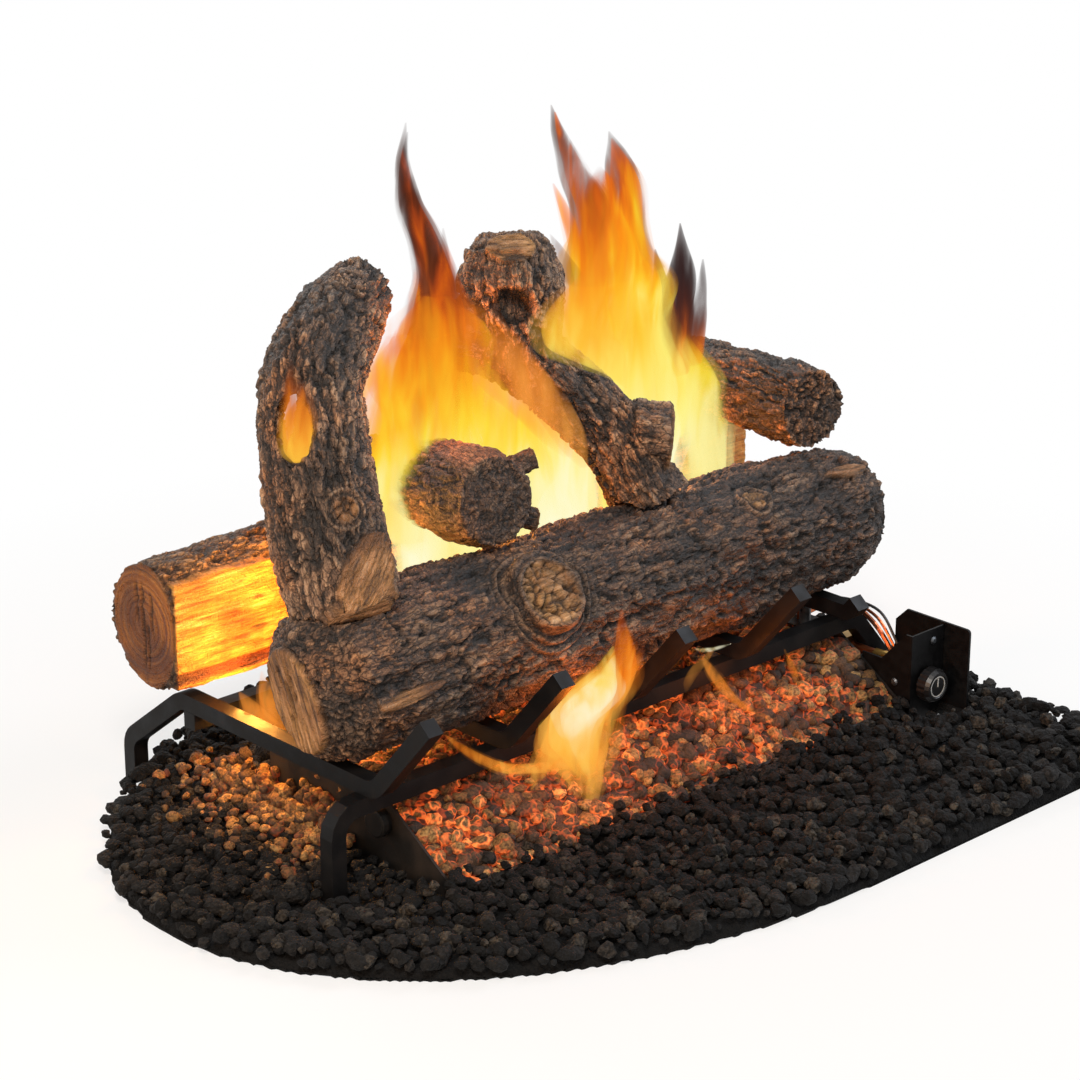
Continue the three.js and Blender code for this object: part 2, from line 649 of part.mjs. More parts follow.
// Burner pan: a folded tray whose cheeks and front apron slope
function cheekShape(inset) {
  const slopeEnd = pan.front + pan.apron;
  const low = inset ? pan.sheet : 0;
  const extra = inset ? overrun : 0;
  const rise = (pan.rim - pan.lip) / pan.apron;
  return new THREE.Shape([
    flat(pan.front + inset, low),
    flat(pan.back - inset, low),
    flat(pan.back - inset, pan.rim + extra),
    flat(slopeEnd + (extra ? extra / rise : 0), pan.rim + extra),
    flat(pan.front + inset, pan.lip + inset * rise),
  ]);
}

function burnerPan() {
  const body = piece("burner_pan", thick(cheekShape(0), panLength), castSteel, at(panLeft, 0, 0), sideOn);
  const insideLength = panLength - 2 * pan.sheet;
  const inside = new THREE.Shape([
    flat(pan.front + pan.sheet, pan.sheet),
    flat(pan.back - pan.sheet, pan.sheet),
    flat(pan.back - pan.sheet, pan.rim + overrun),
    flat(pan.front + pan.sheet, pan.rim + overrun),
  ]);
  const hollow = piece("", thick(inside, insideLength), steel, at(panLeft + pan.sheet, 0, 0), sideOn);
  const way = rod(
    at(panLeft - overrun, burner.y, burner.z),
    at(panRight + overrun, burner.y, burner.z),
    burner.radius + clearance,
  );
  return cut(body, hollow, way);
}

function burnerTube() {
  const right = panRight + pan.sheet;
  const left = panLeft - 2 * pan.sheet;
  const tube = rod(at(left, burner.y, burner.z), at(right, burner.y, burner.z), burner.radius);
  tube.name = "burner_tube";
  tube.material = castSteel;
  const bore = rod(
    at(left + burner.wall, burner.y, burner.z),
    at(right + overrun, burner.y, burner.z),
    burner.radius - burner.wall,
  );
  const step = panLength / (burner.ports + 1);
  const ports = Array.from({ length: burner.ports }, (_, i) => {
    const x = panLeft + step * (i + 1);
    return rod(at(x, burner.y, burner.z), at(x, burner.y, burner.z + 2 * burner.radius), burner.port, 5);
  });
  return cut(tube, bore, ...ports);
}

function burnerCap() {
  const face = panLeft - 2 * pan.sheet - clearance;
  const profile = [
    flat(0, 0),
    flat(burner.capRadius, 0),
    flat(burner.capRadius, burner.capDepth * 0.8),
    flat(burner.capRadius * 0.85, burner.capDepth),
    flat(0, burner.capDepth),
  ];
  const turn = new THREE.Matrix4().makeRotationZ(Math.PI / 2);
  return turned("burner_end_cap", profile, 18, castSteel, at(face, burner.y, burner.z), turn);
}

// Media in the pan: sand round the burner tube, and a layer of embers over it
function slopeUnder() {
  return (pan.rim - pan.lip) / pan.apron;
}

function sandLevel() {
  return pan.rim - embers.cover;
}

function sandShape(level, inner, low) {
  const slopeEnd = pan.front + pan.apron;
  const frontZ = level - slopeUnder() * (pan.apron - inner);
  return new THREE.Shape([
    flat(pan.front + inner, low),
    flat(pan.back - inner, low),
    flat(pan.back - inner, level),
    flat(slopeEnd, level),
    flat(pan.front + inner, Math.max(low + clearance, frontZ)),
  ]);
}

function tubeWay() {
  const from = at(panLeft - overrun, burner.y, burner.z);
  return rod(from, at(panRight + overrun, burner.y, burner.z), burner.radius + clearance);
}

function sandFill() {
  const length = panLength - 2 * pan.sheet - 2 * clearance;
  const place = at(panLeft + pan.sheet + clearance, 0, 0);
  const shape = sandShape(sandLevel(), pan.sheet + clearance, pan.sheet + clearance);
  return cut(piece("sand_fill", thick(shape, length), sand, place, sideOn), tubeWay());
}

// A grid of lumps, trimmed from below to lie on the sand.
function emberBed() {
  const x0 = panLeft + pan.sheet + embers.inset;
  const x1 = panRight - pan.sheet - embers.inset;
  const y0 = pan.front + pan.sheet + embers.inset;
  const y1 = pan.back - pan.sheet - embers.inset;
  const across = Math.round((x1 - x0) / embers.pitch);
  const deep = Math.round((y1 - y0) / embers.pitch);
  const under = (y) => sandLevel() - Math.max(0, (pan.front + pan.apron - y) * slopeUnder());
  const positions = [];
  const index = [];
  const count = (across + 1) * (deep + 1);
  for (const layer of [0, 1])
    for (let j = 0; j <= deep; j++)
      for (let i = 0; i <= across; i++) {
        const x = x0 + ((x1 - x0) * i) / across;
        const y = y0 + ((y1 - y0) * j) / deep;
        const edge = i === 0 || j === 0 || i === across || j === deep;
        const wave = Math.sin(i * 2.3 + j * 1.1) * Math.cos(j * 2.7 - i * 0.6);
        const top = embers.cover + (edge ? -1 : wave) * embers.lump;
        positions.push(x, y, under(y) + (layer ? top : -embers.lump));
      }
  const spot = (layer, i, j) => layer * count + j * (across + 1) + i;
  for (let j = 0; j < deep; j++)
    for (let i = 0; i < across; i++) {
      const [a, b, c, d] = [spot(1, i, j), spot(1, i + 1, j), spot(1, i + 1, j + 1), spot(1, i, j + 1)];
      const [e, f, g, h] = [a - count, b - count, c - count, d - count];
      index.push(a, b, c, a, c, d, e, g, f, e, h, g);
    }
  const wall = (p, q) => index.push(p, q, q + count, p, q + count, p + count);
  for (let i = 0; i < across; i++) {
    wall(spot(0, i, 0), spot(0, i + 1, 0));
    wall(spot(0, i + 1, deep), spot(0, i, deep));
  }
  for (let j = 0; j < deep; j++) {
    wall(spot(0, 0, j + 1), spot(0, 0, j));
    wall(spot(0, across, j), spot(0, across, j + 1));
  }
  const made = new THREE.BufferGeometry();
  made.setAttribute("position", new THREE.Float32BufferAttribute(positions, 3));
  made.setIndex(index);
  const bedding = thick(sandShape(sandLevel() + clearance, -overrun, -overrun), panLength + 2 * overrun);
  const under0 = piece("", bedding, sand, at(panLeft - overrun, 0, 0), sideOn);
  return cut(piece("ember_bed", made.toNonIndexed(), ember), under0, tubeWay());
}

// Gas valve: a barrel with a turning plug, held by a wing plate, behind a folded cover
const coverLeft = panRight + clearance;
const insideFront = cover.front + cover.sheet + clearance;
const valveFront = insideFront + stem.bushDepth + clearance;
const valveBack = valveFront + valve.length;
const plugFront = valveFront + plug.recess;
const plugBack = plugFront + plug.length;
const elbowLeft = panRight + pan.sheet + clearance;
const elbowX = elbowLeft + line.elbow / 2;
const outletZ = burner.z;

// A rod along Y, centred on the valve's axis unless it is given another X and Z.
function alongY(y0, y1, radius, sides = 16, x = valveX, z = valve.z) {
  return rod(at(x, y0, z), at(x, y1, z), radius, sides);
}

function alongX(x0, x1, radius, y, z) {
  return rod(at(x0, y, z), at(x1, y, z), radius, 10);
}

function named(mesh, name, material) {
  mesh.name = name;
  mesh.material = material;
  return mesh;
}

// A round rod with one side cut flat, as a valve stem is.
function flatted(y0, y1, grow) {
  const round = alongY(y0, y1, stem.radius + grow, 14);
  const level = valve.z + stem.flat + grow;
  const low = at(valveX - 2 * stem.radius, Math.min(y0, y1) - overrun, level);
  const high = at(valveX + 2 * stem.radius, Math.max(y0, y1) + overrun, level + stem.radius);
  return cut(round, boxBetween(low, high));
}

function valveBody() {
  const barrel = named(alongY(valveFront, valveBack, valve.barrel, 20), "valve_body", brass);
  const block = boxBetween(
    at(valveX, valveFront + stem.radius, valve.z - valve.block),
    at(wingX - clearance, valveBack, valve.z + valve.block),
  );
  const middle = (valveFront + valveBack) / 2;
  const outlet = alongY(middle, valveBack, line.nut, 16, elbowX, outletZ);
  const inlet = alongY(middle, valveBack, line.nut, 16, supplyX, supply.z);
  const bossLeft = coverLeft + cover.sheet + clearance;
  const boss = alongX(bossLeft, valveX, valve.boss, coverScrewY(), valve.z);
  const bore = alongY(valveFront - overrun, plugBack + clearance, plug.radius + clearance, 20);
  const way = screw.shank + clearance;
  const screwEnd = wingX - screw.shankLength;
  const screwWays = wingScrewPlaces().map(([y, z]) => alongX(screwEnd, wingX + overrun, way, y, z));
  const sideWay = alongX(coverLeft - overrun, coverLeft + screw.shankLength, way, coverScrewY(), valve.z);
  return cut(join(barrel, block, outlet, inlet, boss), bore, sideWay, ...screwWays);
}

function coverScrewY() {
  return (cover.front + plugBack) / 2;
}

function coverScrewZ() {
  return cover.height - screw.inset;
}

function wingScrewPlaces() {
  return [
    [valveFront + screw.inset + screw.head, valve.z + plug.radius],
    [valveBack - screw.inset, valve.z - plug.radius],
  ];
}

function valvePlug() {
  const barrel = named(alongY(plugFront, plugBack, plug.radius, 20), "valve_plug", brass);
  const socket = flatted(plugFront - overrun, plugBack - 2 * stem.radius, clearance);
  const portY = plugBack - stem.radius;
  const port = alongX(valveX - overrun, valveX + overrun, stem.radius * 0.7, portY, valve.z);
  return cut(barrel, socket, port);
}

function knobBack() {
  return cover.front - stem.push - 2 * clearance;
}

function stemTip() {
  return knobBack() - knob.depth * 0.75;
}

function valveStem() {
  return named(flatted(stemTip(), plugFront + 2 * stem.radius, 0), "valve_stem", zinc);
}

function stemBushing() {
  const ring = [
    flat(stem.radius + clearance, 0),
    flat(stem.bush, 0),
    flat(stem.bush, stem.bushDepth),
    flat(stem.radius + clearance, stem.bushDepth),
    flat(stem.radius + clearance, 0),
  ];
  return turned("stem_bushing", ring, 16, zinc, at(valveX, insideFront, valve.z), onFloor);
}

// The knob's grip is scalloped, over a round skirt.
function controlKnob() {
  const outline = [];
  const perFlute = 4;
  for (let k = 0; k < knob.flutes * perFlute; k++) {
    const angle = (2 * Math.PI * k) / (knob.flutes * perFlute);
    const r = knob.radius - (knob.flute * (1 + Math.cos(knob.flutes * angle))) / 2;
    outline.push(flat(r * Math.cos(angle), r * Math.sin(angle)));
  }
  const gripDepth = knob.depth * 0.7;
  const place = at(valveX, knobBack(), valve.z);
  const fluted = thick(new THREE.Shape(outline), gripDepth);
  const grip = piece("control_knob", fluted, plastic, place, facingFront);
  const rim = knob.radius - knob.flute;
  const lip = knob.skirt - 3 * knob.flute;
  const profile = [
    flat(0, gripDepth / 2),
    flat(rim, gripDepth / 2),
    flat(rim, gripDepth),
    flat(knob.skirt, knob.depth),
    flat(lip, knob.depth),
    flat(lip - knob.dish, knob.depth - knob.dish),
    flat(0, knob.depth - knob.dish),
  ];
  const crown = turned("", profile, 24, plastic, place, new THREE.Matrix4().makeRotationX(Math.PI));
  return cut(join(grip, crown), flatted(knobBack() + overrun, stemTip() - clearance, clearance));
}

// The cover is a front sheet folded back at the left, where its top slopes down.
function valveCover() {
  const right = coverLeft + cover.width;
  const back = cover.front + cover.depth;
  const plan = [
    flat(coverLeft, cover.front),
    flat(right, cover.front),
    flat(right, cover.front + cover.sheet),
    flat(coverLeft + cover.sheet, cover.front + cover.sheet),
    flat(coverLeft + cover.sheet, back),
    flat(coverLeft, back),
  ];
  const sheet = piece("valve_cover", thick(new THREE.Shape(plan), cover.height), steel);
  const flankY = cover.front + cover.flank;
  const slope = new THREE.Shape([
    flat(flankY, cover.height + overrun),
    flat(flankY, cover.height),
    flat(flankY + cover.slopeRun, cover.height - cover.slope),
    flat(back + overrun, cover.height - cover.slope),
    flat(back + overrun, cover.height + overrun),
  ]);
  const notch = piece("", thick(slope, 2 * overrun), steel, at(coverLeft - overrun, 0, 0), sideOn);
  const way = screw.shank + clearance;
  const stemWay = alongY(cover.front - overrun, insideFront, stem.radius + 2 * clearance);
  const frontWay = alongY(cover.front - overrun, insideFront, way, 10, frontScrewX(), coverScrewZ());
  const inside = coverLeft + cover.sheet + clearance;
  const sideWay = alongX(coverLeft - overrun, inside, way, coverScrewY(), valve.z);
  return cut(sheet, notch, stemWay, frontWay, sideWay);
}

function frontScrewX() {
  return coverLeft + cover.width * 0.66;
}

function valveWing() {
  const r = wing.corner;
  const outline = new THREE.Shape();
  outline.moveTo(wing.front + r, 0);
  outline.lineTo(wing.back, 0);
  outline.lineTo(wing.back, wing.height - r);
  outline.lineTo(wing.back - r, wing.height);
  outline.lineTo(wing.front + r / 3, wing.height);
  outline.quadraticCurveTo(wing.front, wing.height, wing.front, wing.height - r / 3);
  outline.lineTo(wing.front, r);
  outline.quadraticCurveTo(wing.front, 0, wing.front + r, 0);
  const plate = piece("valve_bracket", thick(outline, wing.sheet), steel, at(wingX, 0, 0), sideOn);
  const innerLeft = coverLeft + cover.sheet + clearance;
  const half = wingX + wing.sheet / 2;
  const foot = boxBetween(at(innerLeft, insideFront, 0), at(half, wing.back, wing.sheet));
  const earSize = 2 * screw.head;
  const ear = boxBetween(
    at(frontScrewX() - earSize, insideFront, coverScrewZ() - earSize),
    at(half, insideFront + wing.sheet, coverScrewZ() + earSize),
  );
  const way = screw.shank + clearance;
  const earBack = insideFront + overrun;
  const frontWay = alongY(cover.front - overrun, earBack, way, 10, frontScrewX(), coverScrewZ());
  const ways = wingScrewPlaces().map(([y, z]) => alongX(wingX - overrun, wingX + overrun, way, y, z));
  return cut(join(plate, foot, ear), frontWay, ...ways);
}

// A round-headed screw whose head lies on a face, with its shank running in along a direction.
function screwAt(name, place, inward) {
  const turn = new THREE.Matrix4().makeRotationFromQuaternion(
    new THREE.Quaternion().setFromUnitVectors(at(0, 1, 0), inward),
  );
  const profile = [
    flat(0, -screw.headTall - clearance),
    flat(screw.head * 0.6, -screw.headTall - clearance),
    flat(screw.head, -clearance - screw.headTall / 3),
    flat(screw.head, -clearance),
    flat(screw.shank, -clearance),
    flat(screw.shank, screw.shankLength - clearance * 2),
    flat(0, screw.shankLength - clearance * 2),
  ];
  return turned(name, profile, 12, zinc, place, turn);
}

// Gas lines
function elbow() {
  const half = line.elbow / 2;
  const low = at(elbowLeft, burner.y - half, burner.z - half);
  return named(boxBetween(low, at(elbowX + half, burner.y + half, burner.z + half)), "burner_elbow", brass);
}

function nut(name, x, z) {
  const hex = new THREE.CylinderGeometry(line.nut, line.nut, line.nutLength, 6);
  return piece(name, hex, brass, at(x, valveBack + clearance + line.nutLength / 2, z));
}

const nutBack = valveBack + line.nutLength + 2 * clearance;

function feedTube() {
  const end = burner.y - line.elbow / 2 - clearance;
  return named(alongY(nutBack, end, line.feed, 12, elbowX, outletZ), "feed_tube", copper);
}

function supplyTube() {
  const end = supply.endY - clearance;
  return named(alongY(nutBack, end, supply.radius, 12, supplyX, supply.z), "gas_supply_tube", steel);
}

function supplyNut() {
  const profile = [
    flat(supply.bore, 0),
    flat(supply.nut * 0.95, 0),
    flat(supply.nut, supply.nutLength * 0.1),
    flat(supply.nut, supply.nutLength),
    flat(supply.bore, supply.nutLength),
    flat(supply.bore, 0),
  ];
  return turned("gas_inlet_nut", profile, 6, brass, at(supplyX, supply.endY, supply.z), onFloor);
}

// Pilot: a strip bracket on the pan's cheek carries the pilot burner, the flame sensor
// and the spark electrode.
const pilotFloor = pan.rim + pilot.plate + embers.lump + clearance;
const pilotTop = barZ - grate.bar / 2 - pilot.headroom;

function pilotBracket() {
  const x = panRight + clearance + pilot.plate / 2;
  const corners = [
    flat(x, pilotFloor - pilot.plateTall),
    flat(x, pilotFloor - pilot.plate / 2),
    flat(x - pilot.plateWide, pilotFloor - pilot.plate / 2),
  ];
  const shape = stripShape(corners, pilot.plate, pilot.plate);
  const place = at(0, pilot.y + pilot.plateWide / 2, 0);
  return piece("pilot_bracket", thick(shape, pilot.plateWide), steel, place, facingFront);
}

function pilotSpot(k) {
  const x = panRight - pilot.plateWide * (0.62 - 0.16 * k);
  const y = pilot.y + pilot.plateWide * 0.34 * (k - 1);
  return at(x, y, pilotFloor + clearance);
}

function pilotHood() {
  const base = pilotSpot(0);
  const hood = named(rod(base, base.clone().setZ(pilotTop), pilot.hood, 14), "pilot_burner", zinc);
  const mouth = base.clone().setZ(pilotTop - pilot.hood / 2);
  const slot = boxBetween(
    mouth.clone().add(at(-overrun, -pilot.hood / 4, -pilot.hood / 4)),
    mouth.clone().add(at(0, pilot.hood / 4, overrun)),
  );
  return cut(hood, slot);
}

function sensor() {
  const base = pilotSpot(1);
  return named(rod(base, base.clone().setZ(pilotTop), line.probe, 10), "thermocouple", copper);
}

function electrode() {
  const base = pilotSpot(2);
  const top = base.clone().setZ(pilotTop);
  const collar = base.clone().setZ(pilotTop - pilot.hood / 2);
  const body = named(rod(base, collar, line.probe, 10), "spark_electrode", porcelain);
  return join(body, rod(base.clone().lerp(collar, 0.5), top, line.spark / 2, 6));
}

// Each line runs from the valve's rear face, over the splayed leg, to its own piece on the pilot bracket.
function gasLine(name, k, radius, material) {
  const spot = pilotSpot(k);
  const level = (pilotFloor + pilotTop) / 2 + line.sensor;
  const size = k === 0 ? pilot.hood : line.probe;
  const side = wingX - line.nut * (2.1 - 0.72 * k);
  const passZ = grate.railZ - line.nut * (2.1 - 0.6 * k);
  const startZ = valve.z + valve.barrel * (0.55 + 0.13 * k);
  const route = [
    at(side, valveBack + 2 * clearance, startZ),
    at(side, valveBack + line.nut, startZ),
    at(side, valveBack + 2 * line.nut, startZ + 1.3 * line.nut),
    at(side, grate.frontRailY, passZ),
    at(side - line.spark * k, grate.frontRailY * 0.4 + spot.y * 0.6 + line.nut, level - line.nut / 3),
    at(panRight + line.nut, spot.y + line.spark, level),
    at(spot.x + size + clearance, spot.y, level),
  ];
  return pipe(name, route, radius, material);
}

group.add(lavaBed(), frontRail(), rearRail());
const bars = Array.from({ length: barRow.count }, (_, i) => i);
const barClearing = bars.map((i) => crossBar(i, clearance));
bars.forEach((i) => group.add(crossBar(i)));
group.add(cut(frontLogAt(), ...barClearing), cut(rearLogAt(), ...barClearing));
group.add(leftTopLog(), centreBranchLog(), smallBranchLog(), rightTopLog());
group.add(burnerPan(), burnerTube(), burnerCap(), sandFill(), emberBed());
group.add(valveBody(), valvePlug(), valveStem(), stemBushing(), controlKnob(), valveCover(), valveWing());
group.add(
  screwAt("cover_screw_front", at(frontScrewX(), cover.front, coverScrewZ()), at(0, 1, 0)),
  screwAt("cover_screw_side", at(coverLeft, coverScrewY(), valve.z), at(1, 0, 0)),
);
wingScrewPlaces().forEach(([y, z], i) =>
  group.add(screwAt("bracket_screw_" + (i + 1), at(wingX + wing.sheet, y, z), at(-1, 0, 0))),
);
group.add(
  elbow(),
  nut("feed_nut", elbowX, outletZ),
  feedTube(),
  nut("supply_nut", supplyX, supply.z),
  supplyTube(),
  supplyNut(),
  pilotBracket(),
  pilotHood(),
  sensor(),
  electrode(),
  gasLine("pilot_tube", 0, line.pilot, copper),
  gasLine("thermocouple_lead", 1, line.sensor, copper),
  gasLine("spark_lead", 2, line.spark, plastic),
);

export default group;
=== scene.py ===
import functools
import json
import math
import bpy
import numpy as np
from mathutils import Matrix, Vector
from mathutils.bvhtree import BVHTree


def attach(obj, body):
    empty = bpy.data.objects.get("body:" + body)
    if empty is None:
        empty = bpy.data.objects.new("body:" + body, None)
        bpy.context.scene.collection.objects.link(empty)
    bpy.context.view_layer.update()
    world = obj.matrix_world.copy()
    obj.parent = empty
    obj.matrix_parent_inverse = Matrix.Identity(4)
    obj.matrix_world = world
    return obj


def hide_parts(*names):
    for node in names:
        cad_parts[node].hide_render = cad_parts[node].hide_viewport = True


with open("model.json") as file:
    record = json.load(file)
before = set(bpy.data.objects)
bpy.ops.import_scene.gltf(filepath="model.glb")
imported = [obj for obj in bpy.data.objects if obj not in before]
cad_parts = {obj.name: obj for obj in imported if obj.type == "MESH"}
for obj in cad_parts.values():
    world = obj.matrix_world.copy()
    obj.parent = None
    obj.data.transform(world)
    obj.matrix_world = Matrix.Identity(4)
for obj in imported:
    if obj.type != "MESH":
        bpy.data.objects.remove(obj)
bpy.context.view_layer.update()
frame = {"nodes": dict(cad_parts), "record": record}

# A gas log set: ceramic logs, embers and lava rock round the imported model, with its fire lit.
# Lengths in the dictionaries are millimetres, but those of the camera, the stage and the lamps are metres, as
# are meshes and materials.
mm = 0.001
nodes = frame["nodes"]
coarse = 1


def say(stage):
    print("stage:", stage)


# Colours are written as sRGB hex values.
def linear(hexText):
    values = [int(hexText[i:i + 2], 16) / 255 for i in (0, 2, 4)]
    return tuple(v / 12.92 if v <= 0.04045 else ((v + 0.055) / 1.055) ** 2.4 for v in values) + (1.0,)


def newObject(name, data):
    made = bpy.data.objects.new(name, data)
    bpy.context.collection.objects.link(made)
    return made


# Camera, at the photograph's viewing angle
camera = {
    "place": (-1.7833, -1.8794, 1.1909),
    "right": (0.729, -0.6845, 0.0),
    "up": (0.2353, 0.2506, 0.9391),
    "lens": 100,
    "sensor": 36,
}


def makeCamera(c):
    data = bpy.data.cameras.new("camera")
    data.lens = c["lens"]
    data.sensor_width = c["sensor"]
    data.clip_end = 50
    eye = newObject("camera", data)
    right = Vector(c["right"]).normalized()
    up = Vector(c["up"]).normalized()
    back = right.cross(up).normalized()
    turn = Matrix((right, back.cross(right), back)).transposed().to_4x4()
    eye.matrix_world = Matrix.Translation(c["place"]) @ turn
    bpy.context.scene.camera = eye


makeCamera(camera)
bpy.context.scene.view_settings.view_transform = "Standard"
say("camera")


# One call adds a shader node, sets its properties and ramp stops, and sets or links its sockets.
# A node that is given for an input stands for its first output in use.
def addNode(material, kind, inputs=None, stops=(), **settings):
    node = material.node_tree.nodes.new("ShaderNode" + kind)
    for name, value in settings.items():
        setattr(node, name, value)
    for i, (position, colour) in enumerate(stops):
        last = i == len(stops) - 1
        elements = node.color_ramp.elements
        element = elements.new(position) if 0 < i and not last else elements[-1 if last else 0]
        element.position = position
        element.color = linear(colour)
    for name, value in (inputs or {}).items():
        if isinstance(value, bpy.types.Node):
            value = next(socket for socket in value.outputs if socket.enabled)
        if isinstance(value, bpy.types.NodeSocket):
            material.node_tree.links.new(value, node.inputs[name])
        else:
            node.inputs[name].default_value = value
    return node


# A material, addNode for this material, and the place on the object that its patterns are laid out by
def newMaterial(name):
    material = bpy.data.materials.new(name)
    material.use_nodes = True
    material.node_tree.nodes.clear()
    add = functools.partial(addNode, material)
    return material, add, add("TexCoord").outputs["Object"]


# Seeded noise for shapes, worked out for whole arrays of places
def hashOf(cell, seed):
    c = cell.astype(np.int64)
    h = (c[:, 0] * 73856093) ^ (c[:, 1] * 19349663) ^ (c[:, 2] * 83492791) ^ (seed * 6542989)
    h = (h ^ (h >> 13)) & 0x7FFFFFFF
    h = (h * 1274126177) & 0x7FFFFFFFFFFF
    h = (h ^ (h >> 16)) & 0xFFFFFF
    return h / 16777215.0


def smoothNoise(p, seed):
    base = np.floor(p)
    part = p - base
    part = part * part * (3 - 2 * part)
    total = np.zeros(len(p))
    for i in (0, 1):
        for j in (0, 1):
            for k in (0, 1):
                weight = np.ones(len(p))
                for axis, corner in enumerate((i, j, k)):
                    weight *= part[:, axis] if corner else 1 - part[:, axis]
                total += weight * hashOf(base + np.array([i, j, k]), seed)
    return total


def layeredNoise(p, seed, layers):
    total = np.zeros(len(p))
    size = 1.0
    reach = 0.0
    for layer in range(layers):
        total += size * smoothNoise(p * 2.03 ** layer, seed + layer)
        reach += size
        size *= 0.5
    return total / reach


# Distances to the nearest and the second nearest of scattered seeds, and a tone for the nearest
def cellNoise(p, seed):
    base = np.floor(p)
    first = np.full(len(p), 9.0)
    second = np.full(len(p), 9.0)
    tone = np.zeros(len(p))
    for i in (-1, 0, 1):
        for j in (-1, 0, 1):
            for k in (-1, 0, 1):
                cell = base + np.array([i, j, k])
                spot = np.stack([hashOf(cell, seed + axis) for axis in range(3)], axis=1)
                away = np.linalg.norm(cell + spot - p, axis=1)
                nearer = away < first
                second = np.where(nearer, first, np.minimum(second, away))
                tone = np.where(nearer, spot[:, 0], tone)
                first = np.where(nearer, away, first)
    return first, second, tone


def eased(value, low, high):
    share = np.clip((value - low) / (high - low), 0, 1)
    return share * share * (3 - 2 * share)


# A smooth line through places, and where other places lie along it and round it
def smoothLine(places, parts=6):
    p = np.array(places, dtype=float)
    ends = np.vstack([2 * p[0] - p[1], p, 2 * p[-1] - p[-2]])
    line = []
    for i in range(1, len(ends) - 2):
        for k in range(parts):
            t = k / parts
            a, b, c, d = ends[i - 1:i + 3]
            line.append(0.5 * ((2 * b) + (c - a) * t + (2 * a - 5 * b + 4 * c - d) * t * t
                               + (3 * b - a - 3 * c + d) * t ** 3))
    line.append(p[-1])
    return np.array(line)


def unrolled(points, line):
    ways = np.diff(line, axis=0)
    spans = np.linalg.norm(ways, axis=1)
    ways = ways / spans[:, None]
    starts = np.concatenate([[0], np.cumsum(spans)])
    side = np.cross(ways[0], (0.31, 0.2, 0.93))
    sides = []
    for way in ways:
        side = side - way * side.dot(way)
        side = side / np.linalg.norm(side)
        sides.append(side)
    sides.append(sides[-1])
    best = np.full(len(points), np.inf)
    result = np.zeros((len(points), 3))
    for i, way in enumerate(ways):
        offset = points - line[i]
        share = offset @ way / spans[i]
        share = np.minimum(share, 1) if i < len(ways) - 1 else share
        share = np.maximum(share, 0) if i > 0 else share
        away = offset - share[:, None] * spans[i] * way
        far = (away ** 2).sum(axis=1)
        mix = np.clip(share, 0, 1)[:, None]
        sideHere = sides[i] * (1 - mix) + sides[i + 1] * mix
        upHere = np.cross(np.broadcast_to(way, sideHere.shape), sideHere)
        aside = (away * sideHere).sum(axis=1)
        above = (away * upHere).sum(axis=1)
        found = np.stack([starts[i] + share * spans[i], aside, above], axis=1)
        closer = far < best
        best = np.where(closer, far, best)
        result[closer] = found[closer]
    return result, np.sqrt(best)


# Meshes
def placesOf(mesh):
    values = np.empty(len(mesh.vertices) * 3)
    mesh.vertices.foreach_get("co", values)
    return values.reshape(-1, 3)


def normalsOf(mesh):
    values = np.empty(len(mesh.vertices) * 3, dtype=np.float32)
    mesh.vertex_normals.foreach_get("vector", values)
    return values.reshape(-1, 3).astype(float)


def store(mesh, name, values):
    attribute = mesh.attributes.new(name, "FLOAT", "POINT")
    attribute.data.foreach_set("value", np.asarray(values, dtype=np.float32))


def meshOf(name, places, faces, smooth=True):
    mesh = bpy.data.meshes.new(name)
    mesh.from_pydata(places.tolist(), [], faces.tolist())
    mesh.update()
    if smooth:
        mesh.shade_smooth()
    return newObject(name, mesh)


# The node's own shape as one even skin, fine enough to carve
def skinOf(node, name, voxel):
    copy = newObject(name, nodes[node].data.copy())
    even = copy.modifiers.new("even", "REMESH")
    even.mode = "VOXEL"
    even.voxel_size = voxel * mm
    even.use_smooth_shade = True
    graph = bpy.context.evaluated_depsgraph_get()
    mesh = bpy.data.meshes.new_from_object(copy.evaluated_get(graph))
    bpy.data.objects.remove(copy)
    mesh.materials.clear()
    return newObject(name, mesh)


# Heights of a node's top under places, with nothing where the node isn't there
graph = bpy.context.evaluated_depsgraph_get()
trees = {name: BVHTree.FromObject(nodes[name], graph) for name in ("lava_rock_bed", "ember_bed")}


def topsOf(node, x, y):
    tops = np.full(len(x), np.nan)
    for i, (px, py) in enumerate(zip(x, y)):
        found = trees[node].ray_cast(Vector((px * mm, py * mm, 1)), Vector((0, 0, -1)))[0]
        if found is not None:
            tops[i] = found.z / mm
    return tops


